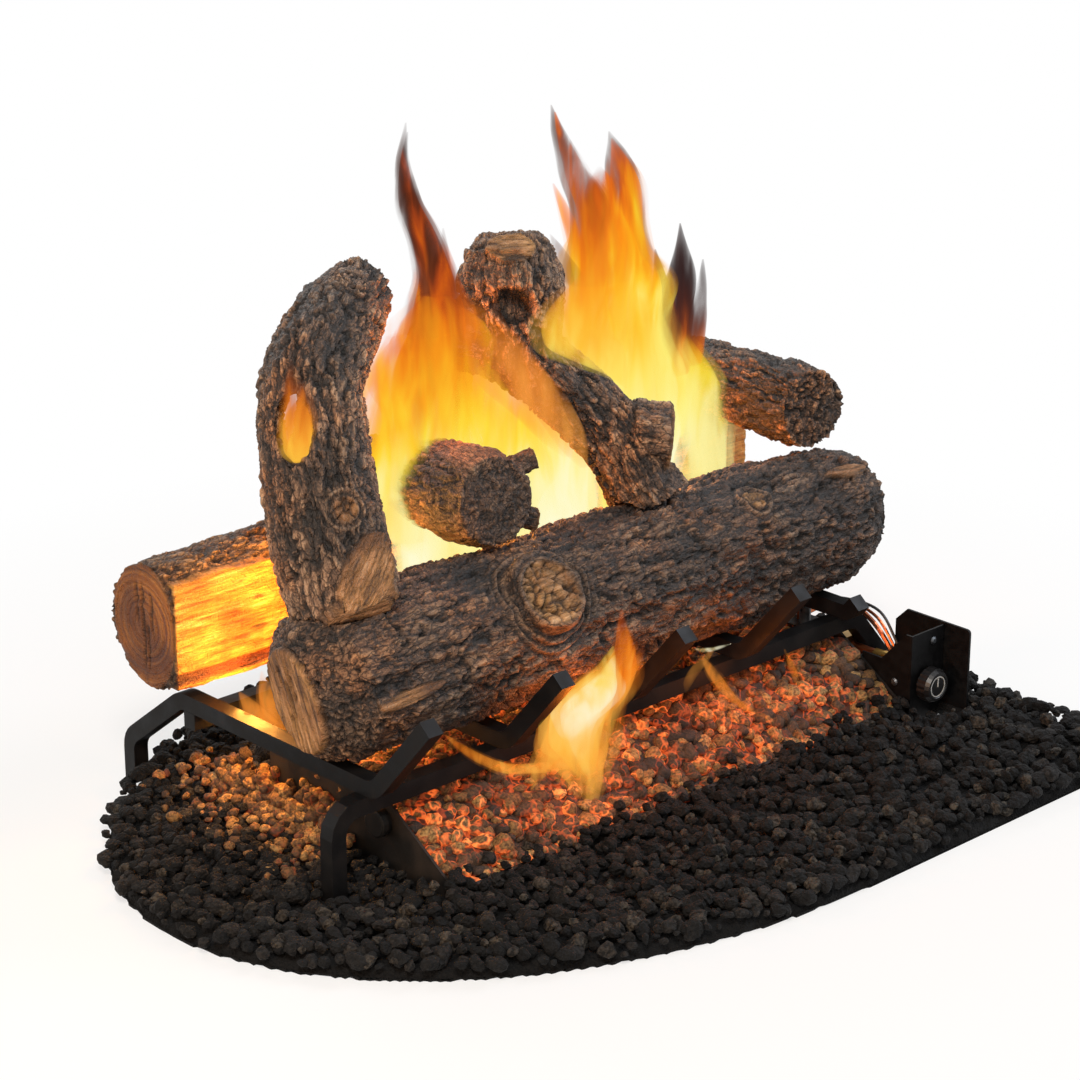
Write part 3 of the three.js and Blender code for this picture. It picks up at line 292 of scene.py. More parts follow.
# Logs of refractory ceramic: each has centre lines in x, y, z with a radius.
# A face is where the log is cut or chopped: its place, the way it faces, its grain and how far it reaches.
# A knot is a place and a radius, and a hollow has a depth as well.
# The bark's layers: how long and wide its plates, furrows, strings and swells are, and how deep each goes.
barkGrain = {
    "voxel": 1.9, "warp": 17, "plate": (21, 9.5, 9.5), "crack": 2.1, "step": 1.9,
    "furrow": (66, 15, 15), "furrowDeep": 4.2, "string": (17, 4.2, 4.2), "stringDeep": 1.5,
    "swell": (70, 34, 34), "swellDeep": 5.6, "rough": 4.4, "roughDeep": 1.6, "inward": 9, "outward": 3.2,
}
# Each log's tone range shifts one shared bark: the left top log is lifted by painted light and the front log
# lowered by painted shade.
logs = {
    "front_log": {
        "slot": "log_bark",
        "pale": (-0.7, 0.35),
        "lines": [([(-360, -22, 188.3), (20, -22, 188.3), (400, -22, 188.3)], 77)],
        "faces": [
            {"at": (-327, -21, 181), "way": (-0.97, 0.03, -0.2), "grain": (0, 0.08, 1), "reach": (54, 35),
             "deep": 12, "char": 0.1, "splits": [(14, -6, 9), (2, 6, 12), (-16, 16, 8), (24, 18, 6)]},
            {"at": (-268, -99, 192), "way": (0.05, -0.8, 0.5), "grain": (1, 0, 0.08), "reach": (52, 6),
             "deep": 6, "char": 0.5},
            {"at": (330, -66, 250), "way": (0.1, -0.5, 0.85), "grain": (1, 0, 0), "reach": (32, 8),
             "deep": 4, "char": 0.6},
        ],
        "knots": [((-85, -79, 232), 58), ((205, -60, 250), 22)],
        "seed": 11,
    },
    "rear_log": {
        "slot": "log_split",
        "lines": [([(-360, 203, 183), (50, 203, 183), (460, 203, 183)], 62)],
        "faces": [
            {"at": (-315, 209, 184), "way": (-1, 0, 0), "rings": True, "reach": (62, 47), "deep": 12,
             "char": 0.75, "splits": [(0, 0, 26), (20, 14, 12), (-20, -10, 14), (14, -22, 12)]},
            {"at": (60, 161, 190), "way": (0, -1, 0), "grain": (1, 0, 0), "reach": (600, 90), "deep": 13,
             "char": 0, "bands": [(-49, 7, 1.0), (52, 2.4, 0.5)]},
        ],
        "seed": 23,
    },
    "left_top_log": {
        "slot": "log_bark",
        "pale": (0.6, 1),
        "lines": [
            ([(-262, -36, 205), (-262, -22, 230), (-262, 9, 326), (-253, 33, 387), (-232, 58, 426),
              (-199, 81, 450), (-161, 104, 468), (-119, 127, 476), (-96, 140, 480)], 49),
            ([(-161, 104, 468), (-147, 160, 357), (-127, 203, 236), (-121, 215, 200)], 24),
        ],
        "faces": [
            {"at": (-266, -53, 294), "way": (-0.3, -0.86, 0.42), "grain": (0.6, -0.1, 0.8),
             "reach": (40, 24), "deep": 12, "char": 0.4},
            {"at": (-272, -57, 262), "way": (-0.15, -0.86, -0.48), "grain": (1, -0.1, 0.1),
             "reach": (52, 16), "deep": 14, "char": 0.5},
            {"at": (-238, -42, 256), "way": (0.72, -0.6, -0.35), "grain": (0.6, 0.7, 0.1),
             "reach": (34, 22), "deep": 12, "char": 0.55},
        ],
        "knots": [((-275, -34, 348), 20)],
        "seed": 37,
    },
    "centre_branch_log": {
        "slot": "log_bark",
        "lines": [
            ([(113, -30, 235), (113, -13, 256), (90, 21, 322), (60, 50, 365), (29, 85, 400), (-2, 120, 415),
              (3, 158, 395), (23, 185, 327), (38, 203, 239), (42, 208, 210)], 38),
            ([(29, 85, 388), (44, 107, 505), (47, 112, 530)], 49),
            ([(90, 21, 322), (132, -16, 315), (150, -32, 312)], 32),
        ],
        "faces": [
            {"at": (133, -17, 315), "way": (0.745, -0.654, -0.121), "rings": True, "reach": (33, 33),
             "deep": 6, "char": 0.1},
            {"at": (18, 78, 502), "way": (-0.35, -0.45, 0.82), "grain": (0.8, -0.6, 0), "reach": (24, 17),
             "deep": 7, "char": 0.1},
        ],
        "hollows": [((6, 62, 452), 25, 9), ((119, -6, 317), 19, 5)],
        "seed": 51,
    },
    "small_branch_log": {
        "slot": "log_bark",
        "lines": [
            ([(-92, -40, 308), (-88, -17, 306), (-75, 80, 296), (-62, 180, 282), (-58, 205, 279)], 45),
            ([(-71, 6, 319), (-32, -6, 331), (-22, -9, 334)], 14),
            ([(-71, 6, 286), (-35, -11, 274), (-26, -15, 271)], 14),
        ],
        "calm": 0.5,
        "pale": (-0.3, 0.3),
        "faces": [
            {"at": (-32, -6, 331), "way": (0.91, -0.3, 0.28), "grain": (0, 0, 1), "reach": (13, 13),
             "deep": 5},
            {"at": (-35, -11, 274), "way": (0.86, -0.42, -0.3), "grain": (0, 0, 1), "reach": (13, 13),
             "deep": 5},
        ],
        "seed": 67,
    },
    "right_top_log": {
        "slot": "log_bark",
        "lines": [([(326, -50, 304), (328, -22, 303), (349, 97, 296), (387, 216, 280), (396, 240, 276)], 44)],
        "seed": 83,
    },
}


def logSpace(points, lines):
    best = np.full(len(points), np.inf)
    rolled = np.zeros((len(points), 3))
    for number, (places, radius) in enumerate(lines):
        found, away = unrolled(points, smoothLine(places))
        found[:, 0] += 500 * number
        share = away / radius
        closer = share < best
        best = np.where(closer, share, best)
        rolled[closer] = found[closer]
    return rolled


# A face's own frame: how far a place stands off it, and where it lies along and across the grain
def onFace(points, face):
    way = np.array(face["way"]) / np.linalg.norm(face["way"])
    grain = np.array(face.get("grain", (0, 0.02, 1)), dtype=float)
    grain -= way * grain.dot(way)
    grain /= np.linalg.norm(grain)
    across = np.cross(way, grain)
    offset = points - np.array(face["at"])
    return offset @ way, offset @ grain, offset @ across, way


def carveLog(name, log):
    g = barkGrain
    made = skinOf(name, "bark_" + name, g["voxel"])
    mesh = made.data
    points = placesOf(mesh) / mm
    normals = normalsOf(mesh)
    seed = log["seed"]
    rolled = logSpace(points, log["lines"])
    wander = [layeredNoise(rolled / g["warp"] + 7.1 * axis, seed + axis, 3) - 0.5 for axis in range(3)]
    warp = np.stack(wander, axis=1)
    first, second, tone = cellNoise(rolled / g["plate"] + 1.6 * warp, seed)
    plate = eased(second - first, 0.03, 0.34)
    furrow = eased(np.abs(layeredNoise(rolled / g["furrow"] + 1.1 * warp, seed + 5, 3) - 0.5), 0.0, 0.055)
    rough = layeredNoise(points / g["rough"], seed + 9, 3) - 0.5
    string = eased(np.abs(layeredNoise(rolled / g["string"] + 0.9 * warp, seed + 17, 2) - 0.5), 0.0, 0.12)
    swell = layeredNoise(rolled / g["swell"], seed + 13, 2) - 0.5
    bark = -g["furrowDeep"] * (1 - furrow) - g["crack"] * (1 - plate) + g["step"] * (tone - 0.5) * plate
    bark += g["stringDeep"] * (string - 0.7) + g["roughDeep"] * rough + g["swellDeep"] * swell
    bark *= log.get("calm", 1)
    cut = np.zeros(len(points))
    wood = np.zeros(len(points))
    faceSpace = rolled.copy()
    grain_and_split_shade = np.zeros(len(points))
    char = np.zeros(len(points))
    flatten = np.zeros((len(points), 3))
    for number, face in enumerate(log.get("faces", [])):
        off, along, across, way = onFace(points, face)
        ragged = 0.12 * (layeredNoise(points / 14, seed + 31 + number, 2) - 0.5)
        away = np.sqrt((along / face["reach"][0]) ** 2 + (across / face["reach"][1]) ** 2) + ragged
        here = (1 - eased(away, 0.93, 1.02)) * (1 - eased(np.abs(off), face["deep"] * 0.8, face["deep"]))
        here *= eased(normals @ way, 0.25, 0.6)
        radius = np.hypot(along, across)
        if face.get("rings"):
            turned = np.arctan2(across, along) * 9
            local = np.stack([turned, radius, off], axis=1)
        else:
            local = np.stack([along, across, off], axis=1)
        deep = here > cut
        faceSpace[deep] = local[deep]
        grainLines = layeredNoise(local / (38, 4.4, 60) + number, seed + 41, 3) - 0.5
        dent = np.zeros(len(points))
        for s, t, long in face.get("splits", []):
            bend = 1.6 * (layeredNoise(points / 6, seed + 47, 2) - 0.5)
            gap = np.abs(across - t * 0.6 + bend * 2)
            ends = eased(np.abs(along - s), long, long * 1.8)
            dent = np.maximum(dent, (1 - eased(gap, 0.6, 2.2)) * (1 - ends))
        wood = np.where(deep, 3.2 * grainLines + rough - 3.2 * dent, wood)
        # Dark lines along the grain, and painted shade down the splits
        grain_and_split_shade = np.where(deep, np.maximum(dent, 0.8 * eased(-grainLines, 0.14, 0.3)), grain_and_split_shade)
        char = np.where(deep, face.get("char", 0.2), char)
        for middle, half, amount in face.get("bands", []):
            wander = 3 * (layeredNoise(points / 30, seed + 53, 2) - 0.5)
            band = 1 - eased(np.abs(across - middle + wander), half * 0.7, half)
            char = np.where(deep, np.maximum(char, amount * band), char)
            wood = np.where(deep, wood - 2.5 * band * amount, wood)
        pull = np.clip(-off, -face["deep"], face["deep"]) * eased(here, 0.2, 0.9)
        flatten = np.where(deep[:, None], way * (pull * 0.75)[:, None], flatten)
        cut = np.maximum(cut, here)
    knotMask = np.zeros(len(points))
    for place, radius in log.get("knots", []):
        away = np.linalg.norm(points - place, axis=1) / radius + 0.06 * warp[:, 0]
        inside = 1 - eased(away, 0.84, 1.05)
        rings = 2.2 * np.sin(away * radius * 0.8 + 3 * warp[:, 1])
        blockFirst, blockSecond, blockTone = cellNoise(points / 12 + 0.5 * warp, seed + 71)
        blocks = eased(blockSecond - blockFirst, 0.03, 0.2)
        core = 1 - eased(away, 0.5, 0.58)
        shape = (rings - 0.5) * (1 - core) + 1.6 * rough + core * (4.6 * blocks - 4.4 + 1.6 * blockTone)
        bark = bark * (1 - inside) + inside * shape
        knotMask = np.maximum(knotMask, core * (0.15 + 0.85 * blocks))
    for place, radius, deep in log.get("hollows", []):
        away = np.linalg.norm((points - place) * (1, 1, 1.25), axis=1) / radius + 0.3 * warp[:, 2]
        pit = 1 - eased(away, 0.45, 0.95)
        bark = bark - deep * pit
        lip = (1 - eased(np.abs(away - 1.05), 0.05, 0.3)) * (1 - pit)
        bark = bark + 0.9 * lip
    push = np.clip(bark * (1 - cut) + wood * cut, -g["inward"], g["outward"])
    moved = points + normals * push[:, None] + flatten
    mesh.vertices.foreach_set("co", (moved * mm).ravel())
    mesh.update()
    # The relief's height sets the bark colour: painted shade in the furrows and hollows, painted highlight on
    # the ridge tops.
    store(mesh, "cavity", np.clip(0.6 + 0.075 * bark, 0, 1))
    store(mesh, "cut", np.maximum(cut, 0.9 * knotMask))
    store(mesh, "grain_and_split_shade", grain_and_split_shade)
    store(mesh, "char", char)
    # The log's tone range, which carries its painted light and shade
    pale = log.get("pale", (0, 1))
    store(mesh, "tone", pale[0] + (pale[1] - pale[0]) * tone)
    for axis, label in enumerate(("along", "aside", "above")):
        store(mesh, label, faceSpace[:, axis] * mm)
    made.data.materials.append(materials[log["slot"]])
    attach(made, "root")
    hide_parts(name)


# Refractory ceramic cast in a mould of real bark and painted by hand: dark brown on the stringy plates with a
# faint sheen on their edges, and bare tan where cut. By the relief's height it runs from nearly black in
# every furrow, painted shade, to a grey-tan on the ridge tops that is partly dry bloom and partly painted
# highlight.
def ceramicLog(name, hollow, deep, plate, bloom_and_highlight, wood):
    material, add, place = newMaterial(name)
    labels = ("cavity", "cut", "tone", "along", "aside", "above", "grain_and_split_shade", "char")
    read = {label: add("Attribute", attribute_name=label).outputs["Fac"] for label in labels}
    rolled = add("CombineXYZ", {"X": read["along"], "Y": read["aside"], "Z": read["above"]})
    # Grit of 2 mm, patches of paint of 60 mm, bark strings of 3.5 mm by 14 mm, wood fibres of 4 mm by 45 mm
    grit = add("TexNoise", {"Vector": place, "Scale": 480.0, "Detail": 4.0})
    patch = add("TexNoise", {"Vector": place, "Scale": 17.0, "Detail": 4.0})
    stringy = add("VectorMath", {0: rolled, 1: (75.0, 270.0, 270.0)}, operation="MULTIPLY")
    string = add("TexNoise", {
        "Vector": stringy, "Scale": 1.0, "Detail": 5.0, "Roughness": 0.6, "Distortion": 0.8})
    stretch = add("VectorMath", {0: rolled, 1: (22.0, 250.0, 250.0)}, operation="MULTIPLY")
    fibre = add("TexNoise", {"Vector": stretch, "Scale": 1.0, "Detail": 6.0, "Roughness": 0.62})
    level = add("Math", {0: string, 1: 1.05, 2: read["cavity"]}, operation="MULTIPLY_ADD")
    level = add("Math", {0: grit, 1: 0.5, 2: level}, operation="MULTIPLY_ADD")
    level = add("Math", {0: level, 1: 0.46}, operation="MULTIPLY")
    # Fine cracks round flakes of 6 mm by 13 mm
    flake = add("VectorMath", {0: rolled, 1: (75.0, 160.0, 160.0)}, operation="MULTIPLY")
    sway = add("TexNoise", {"Vector": place, "Scale": 120.0, "Detail": 2.0}).outputs["Color"]
    flake = add("VectorMath", {0: sway, 1: (1.1, 1.1, 1.1), 2: flake}, operation="MULTIPLY_ADD")
    edge = add("TexVoronoi", {"Vector": flake, "Scale": 1.0}, feature="DISTANCE_TO_EDGE")
    crack = add("MapRange", {"Value": edge, "From Min": 0.01, "From Max": 0.1})
    # Low relief nearly black and high relief light grey-tan: painted shade and painted highlight over the
    # paint's browns.
    bark = add("ValToRGB", {"Fac": level}, stops=[(0.38, hollow), (0.53, deep), (0.62, plate), (0.72, bloom_and_highlight)])
    stain = add("ValToRGB", {"Fac": patch}, stops=[(0.36, "8E8884"), (0.5, "DACCC0"), (0.64, "FFD4A6")])
    # Tone darkens the bark: the plates' own tones, and each log's painted light and shade
    shade = add("ValToRGB", {"Fac": read["tone"]}, stops=[(0.0, "8C8684"), (0.7, "FFFFFF")])
    multiply = {"data_type": "RGBA", "blend_type": "MULTIPLY"}
    for share, layer in ((0.8, stain), (0.6, shade), (0.72, crack)):
        bark = add("Mix", {0: share, 6: bark, 7: layer}, **multiply)
    body = add("ValToRGB", {"Fac": fibre}, stops=[
        (0.36, wood[0]), (0.46, wood[1]), (0.58, wood[2]), (0.68, wood[3])])
    smoke = add("ValToRGB", {"Fac": patch}, stops=[(0.36, "8A7460"), (0.56, "FFFFFF")])
    for share, layer in ((0.8, smoke), (read["char"], linear("84583E"))):
        body = add("Mix", {0: share, 6: body, 7: layer}, **multiply)
    # Cut faces go nearly black on dark grain lines, and in the splits as painted shade
    body = add("Mix", {0: read["grain_and_split_shade"], 6: body, 7: linear(hollow)}, data_type="RGBA")
    colour = add("Mix", {0: read["cut"], 6: bark, 7: body}, data_type="RGBA")
    height = add("Math", {0: string, 1: grit}, operation="ADD")
    height = add("Math", {0: height, 1: fibre}, operation="ADD")
    height = add("Math", {0: crack, 1: 0.5, 2: height}, operation="MULTIPLY_ADD")
    bump = add("Bump", {"Height": height, "Strength": 0.8, "Distance": 0.0022})
    gloss = add("MapRange", {"Value": grit, "To Min": 0.85, "To Max": 0.35})
    shader = add("BsdfPrincipled", {
        "Base Color": colour, "Roughness": gloss, "Normal": bump, "Specular IOR Level": 0.45})
    add("OutputMaterial", {"Surface": shader})
    return material


# Crushed volcanic rock: matt, porous and nearly black, with a dusty grey tint that differs from stone to
# stone, and a warm tan of painted firelight where the embers light it.
def crushedLava():
    material, add, place = newMaterial("crushed lava rock")
    tone, heat = (add("Attribute", attribute_name=label).outputs["Fac"] for label in ("tone", "heat"))
    # Pores of 3 mm and grit of 4 mm
    pores = add("TexVoronoi", {"Vector": place, "Scale": 330.0})
    grit = add("TexNoise", {"Vector": place, "Scale": 250.0, "Detail": 6.0})
    stone = add("ValToRGB", {"Fac": tone}, stops=[
        (0.0, "060607"), (0.5, "131313"), (0.8, "262423"), (1.0, "48433C")])
    dust = add("ValToRGB", {"Fac": grit}, stops=[(0.4, "3A3A3A"), (0.62, "FFFFFF")])
    colour = add("Mix", {0: 0.9, 6: stone, 7: dust}, data_type="RGBA", blend_type="MULTIPLY")
    colour = add("Mix", {0: heat, 6: colour, 7: linear("7A4424")}, data_type="RGBA")
    height = add("Math", {0: pores, 1: grit}, operation="ADD")
    bump = add("Bump", {"Height": height, "Strength": 0.85, "Distance": 0.0022})
    shader = add("BsdfPrincipled", {
        "Base Color": colour, "Roughness": 0.86, "Normal": bump, "Specular IOR Level": 0.22})
    add("OutputMaterial", {"Surface": shader})
    return material


# Mineral wool embers: olive-brown tufts whose rims glow orange-red where the gas burns between them.
def glowingEmber():
    material, add, place = newMaterial("glowing mineral wool ember")
    labels = ("tone", "glow", "rim")
    tone, glow, rim = (add("Attribute", attribute_name=label).outputs["Fac"] for label in labels)
    wool = add("TexNoise", {"Vector": place, "Scale": 380.0, "Detail": 6.0})
    tuft = add("ValToRGB", {"Fac": tone}, stops=[
        (0.0, "24170E"), (0.35, "5A3E24"), (0.7, "866236"), (1.0, "AE8A54")])
    shade = add("ValToRGB", {"Fac": wool}, stops=[(0.36, "5A4C42"), (0.62, "FFFFFF")])
    colour = add("Mix", {0: 0.85, 6: tuft, 7: shade}, data_type="RGBA", blend_type="MULTIPLY")
    # Glowing fibres curl round loops of about 12 mm, and only where the gas has them hot
    loops = add("TexNoise", {"Vector": place, "Scale": 80.0, "Detail": 1.5})
    aside = add("Math", {0: loops, 1: 0.5}, operation="SUBTRACT")
    aside = add("Math", {0: aside}, operation="ABSOLUTE")
    curl = add("MapRange", {
        "Value": aside, "From Min": 0.012, "From Max": 0.07, "To Min": 1.0, "To Max": 0.0})
    flicker = add("TexNoise", {"Vector": place, "Scale": 36.0, "Detail": 4.0})
    lively = add("MapRange", {
        "Value": flicker, "From Min": 0.4, "From Max": 0.55, "To Min": 0.15, "To Max": 1.0})
    seam = add("Math", {0: rim, 1: 0.6}, operation="MULTIPLY")
    hot = add("Math", {0: seam, 1: curl}, operation="MAXIMUM")
    for share in (lively, glow):
        hot = add("Math", {0: hot, 1: share}, operation="MULTIPLY")
    fire = add("ValToRGB", {"Fac": hot}, stops=[
        (0.06, "000000"), (0.24, "7E280C"), (0.46, "CC4A18"), (0.8, "F87430"), (1.0, "FFA050")])
    bump = add("Bump", {"Height": wool, "Strength": 0.8, "Distance": 0.0022})
    shader = add("BsdfPrincipled", {
        "Base Color": colour, "Roughness": 0.8, "Normal": bump,
        "Emission Color": fire, "Emission Strength": 0.95})
    add("OutputMaterial", {"Surface": shader})
    return material


# Heat-proof paint on mild steel: nearly black, satin, with a dry grey-brown scale where fire has been at it.
def stovePaint(name, base, worn, patchSize, roughness):
    material, add, place = newMaterial(name)
    scale = add("TexNoise", {"Vector": place, "Scale": 1000.0 / patchSize, "Detail": 6.0})
    fine = add("TexNoise", {"Vector": place, "Scale": 900.0, "Detail": 2.0})
    colour = add("ValToRGB", {"Fac": scale}, stops=[(0.48, base), (0.74, worn)])
    gloss = add("MapRange", {
        "Value": scale, "From Min": 0.3, "From Max": 0.7, "To Min": roughness, "To Max": roughness + 0.22})
    bump = add("Bump", {"Height": fine, "Strength": 0.3, "Distance": 0.0004})
    shader = add("BsdfPrincipled", {
        "Base Color": colour, "Roughness": gloss, "Normal": bump, "Specular IOR Level": 0.2})
    add("OutputMaterial", {"Surface": shader})
    return material


# Bare metal fittings: drawn or turned, with faint lines of the tool and a little tarnish.
def bareMetal(name, clean, tarnish, roughness, lines):
    material, add, place = newMaterial(name)
    drawn = add("VectorMath", {0: place, 1: lines}, operation="MULTIPLY")
    streak = add("TexNoise", {"Vector": drawn, "Scale": 1.0, "Detail": 3.0})
    patch = add("TexNoise", {"Vector": place, "Scale": 70.0, "Detail": 4.0})
    colour = add("ValToRGB", {"Fac": patch}, stops=[(0.4, clean), (0.7, tarnish)])
    gloss = add("MapRange", {
        "Value": streak, "From Min": 0.3, "From Max": 0.7, "To Min": roughness, "To Max": roughness + 0.16})
    shader = add("BsdfPrincipled", {"Base Color": colour, "Roughness": gloss, "Metallic": 1.0})
    add("OutputMaterial", {"Surface": shader})
    return material


# Moulded, glazed or printed fittings, with a fine grain that breaks the highlight.
def plainSkin(name, low, high, roughness, grainSize, depth):
    material, add, place = newMaterial(name)
    grain = add("TexNoise", {"Vector": place, "Scale": 1000.0 / grainSize, "Detail": 3.0})
    colour = add("ValToRGB", {"Fac": grain}, stops=[(0.35, low), (0.65, high)])
    bump = add("Bump", {"Height": grain, "Strength": 0.25, "Distance": depth * mm})
    shader = add("BsdfPrincipled", {"Base Color": colour, "Roughness": roughness, "Normal": bump})
    add("OutputMaterial", {"Surface": shader})
    return material


materials = {
    "log_bark": ceramicLog("cast refractory bark", "0C0907", "352A22", "7C6350", "BEA286",
                           ("5A3C22", "96703F", "BE9062", "D8B083")),
    "log_split": ceramicLog("cast refractory split wood", "120C08", "42301F", "7C5E40", "B8986E",
                            ("9A5C1C", "C48430", "E2A448", "F4C476")),
    "lava_rock": crushedLava(),
    "ember": glowingEmber(),
    "grate_steel": stovePaint("stove paint on square bar", "060607", "110F0E", 22, 0.45),
    "pan_steel": stovePaint("stove paint on folded sheet", "151413", "2E2824", 33, 0.5),
    "cover_steel": stovePaint("black powder coat", "030304", "080809", 8, 0.45),
    "brass": bareMetal("machined brass", "B08D4A", "8A6A36", 0.28, (900.0, 60.0, 900.0)),
    "copper": bareMetal("drawn copper tube", "B46A44", "7C4630", 0.26, (500.0, 40.0, 500.0)),
    "zinc": bareMetal("zinc-plated steel", "6E7276", "44474B", 0.42, (700.0, 700.0, 90.0)),
    "pipe_steel": bareMetal("passivated steel tube", "8E8F92", "6C6D70", 0.34, (600.0, 50.0, 600.0)),
    "knob_plastic": plainSkin("moulded phenolic", "0E0E0F", "141416", 0.38, 2.0, 0.2),
    "lead_rubber": plainSkin("silicone lead sheath", "0D0D0E", "161617", 0.5, 1.4, 0.2),
    "porcelain": plainSkin("glazed porcelain", "E4DFD3", "EFEBE2", 0.16, 3.3, 0.1),
    "sand": plainSkin("dry silica sand", "8C7857", "C2AC86", 0.9, 0.8, 1.2),
}
say("materials")

for name, log in logs.items():
    carveLog(name, log)
    say("bark of " + name)


# Stones: a ball of 80 faces, cut to flats by a few planes, one seeded shape for each stone
def ballOf():
    gold = (1 + 5 ** 0.5) / 2
    corners = [(-1, gold, 0), (1, gold, 0), (-1, -gold, 0), (1, -gold, 0), (0, -1, gold), (0, 1, gold),
               (0, -1, -gold), (0, 1, -gold), (gold, 0, -1), (gold, 0, 1), (-gold, 0, -1), (-gold, 0, 1)]
    faces = [(0, 11, 5), (0, 5, 1), (0, 1, 7), (0, 7, 10), (0, 10, 11), (1, 5, 9), (5, 11, 4), (11, 10, 2),
             (10, 7, 6), (7, 1, 8), (3, 9, 4), (3, 4, 2), (3, 2, 6), (3, 6, 8), (3, 8, 9), (4, 9, 5),
             (2, 4, 11), (6, 2, 10), (8, 6, 7), (9, 8, 1)]
    places = [Vector(c).normalized() for c in corners]
    middles = {}
    finer = []
    for a, b, c in faces:
        ring = []
        for p, q in ((a, b), (b, c), (c, a)):
            key = (min(p, q), max(p, q))
            if key not in middles:
                middles[key] = len(places)
                places.append((places[p] + places[q]).normalized())
            ring.append(middles[key])
        finer += [(a, ring[0], ring[2]), (b, ring[1], ring[0]), (c, ring[2], ring[1]), tuple(ring)]
    return np.array([tuple(p) for p in places]), np.array(finer)


def stones(centres, sizes, b):
    ball, faces = ballOf()
    draw = np.random.default_rng(b["seed"])
    count = len(centres)
    reach = np.full((count, len(ball)), 1.0)
    for _ in range(b["flats"]):
        way = draw.normal(size=(count, 3))
        way /= np.linalg.norm(way, axis=1)[:, None]
        off = draw.uniform(0.5, 0.92, size=count)
        facing = np.maximum(way @ ball.T, 1e-3)
        reach = np.minimum(reach, off[:, None] / facing)
    reach *= draw.uniform(1 - b["bumps"], 1 + b["bumps"], size=reach.shape)
    stretch = draw.uniform(0.78, 1.22, size=(count, 3))
    stretch[:, 2] *= b["squash"]
    turn = draw.uniform(0, 2 * np.pi, size=count)
    local = ball[None] * reach[:, :, None] * stretch[:, None, :] * sizes[:, None, None]
    spunX = local[:, :, 0] * np.cos(turn)[:, None] - local[:, :, 1] * np.sin(turn)[:, None]
    spunY = local[:, :, 0] * np.sin(turn)[:, None] + local[:, :, 1] * np.cos(turn)[:, None]
    local = np.stack([spunX, spunY, local[:, :, 2]], axis=2)
    places = (local + centres[:, None, :]).reshape(-1, 3)
    allFaces = (faces[None] + (np.arange(count) * len(ball))[:, None, None]).reshape(-1, 3)
    height = (local[:, :, 2] / sizes[:, None]).reshape(-1)
    return places, allFaces, np.repeat(draw.uniform(0, 1, size=count), len(ball)), height


# A loose grid of places, each pushed off its spot by a share of the pitch
def scattered(low, high, pitch, stray, seed):
    draw = np.random.default_rng(seed)
    x, y = np.meshgrid(np.arange(low[0], high[0] + pitch, pitch), np.arange(low[1], high[1], pitch * 0.866))
    x = x + (np.arange(len(y)) % 2)[:, None] * pitch / 2
    x = x.ravel() + draw.uniform(-stray, stray, size=x.size) * pitch
    y = y.ravel() + draw.uniform(-stray, stray, size=y.size) * pitch
    return x, y, draw


# Lava rock: granules of 10 to 25 mm that lie on the bed's own lumps, raked up against the burner pan and the
# valve cover. A row is where it starts and ends in x, its y and z, and the share of places that hold a stone.
lavaBed = {
    "low": (-465, -360), "high": (465, 360), "pitch": 11.6, "stone": 6.5, "sizes": (0.5, 1.6), "seed": 5,
    "flats": 11, "bumps": 0.08, "squash": 0.85, "fire": (-330, 90), "fines": 6, "sunk": 8,
}
raked = {
    "rows": [(-262, 345, -153, 16, 1), (-262, 345, -146, 22, 1), (-262, 345, -138, 25, 0.6),
             (-262, 345, -129, 29, 0.22), (345, 394, -154, 8, 1), (349, 394, -164, 7, 1)],
    "pitch": 9, "stone": 6.6,
}


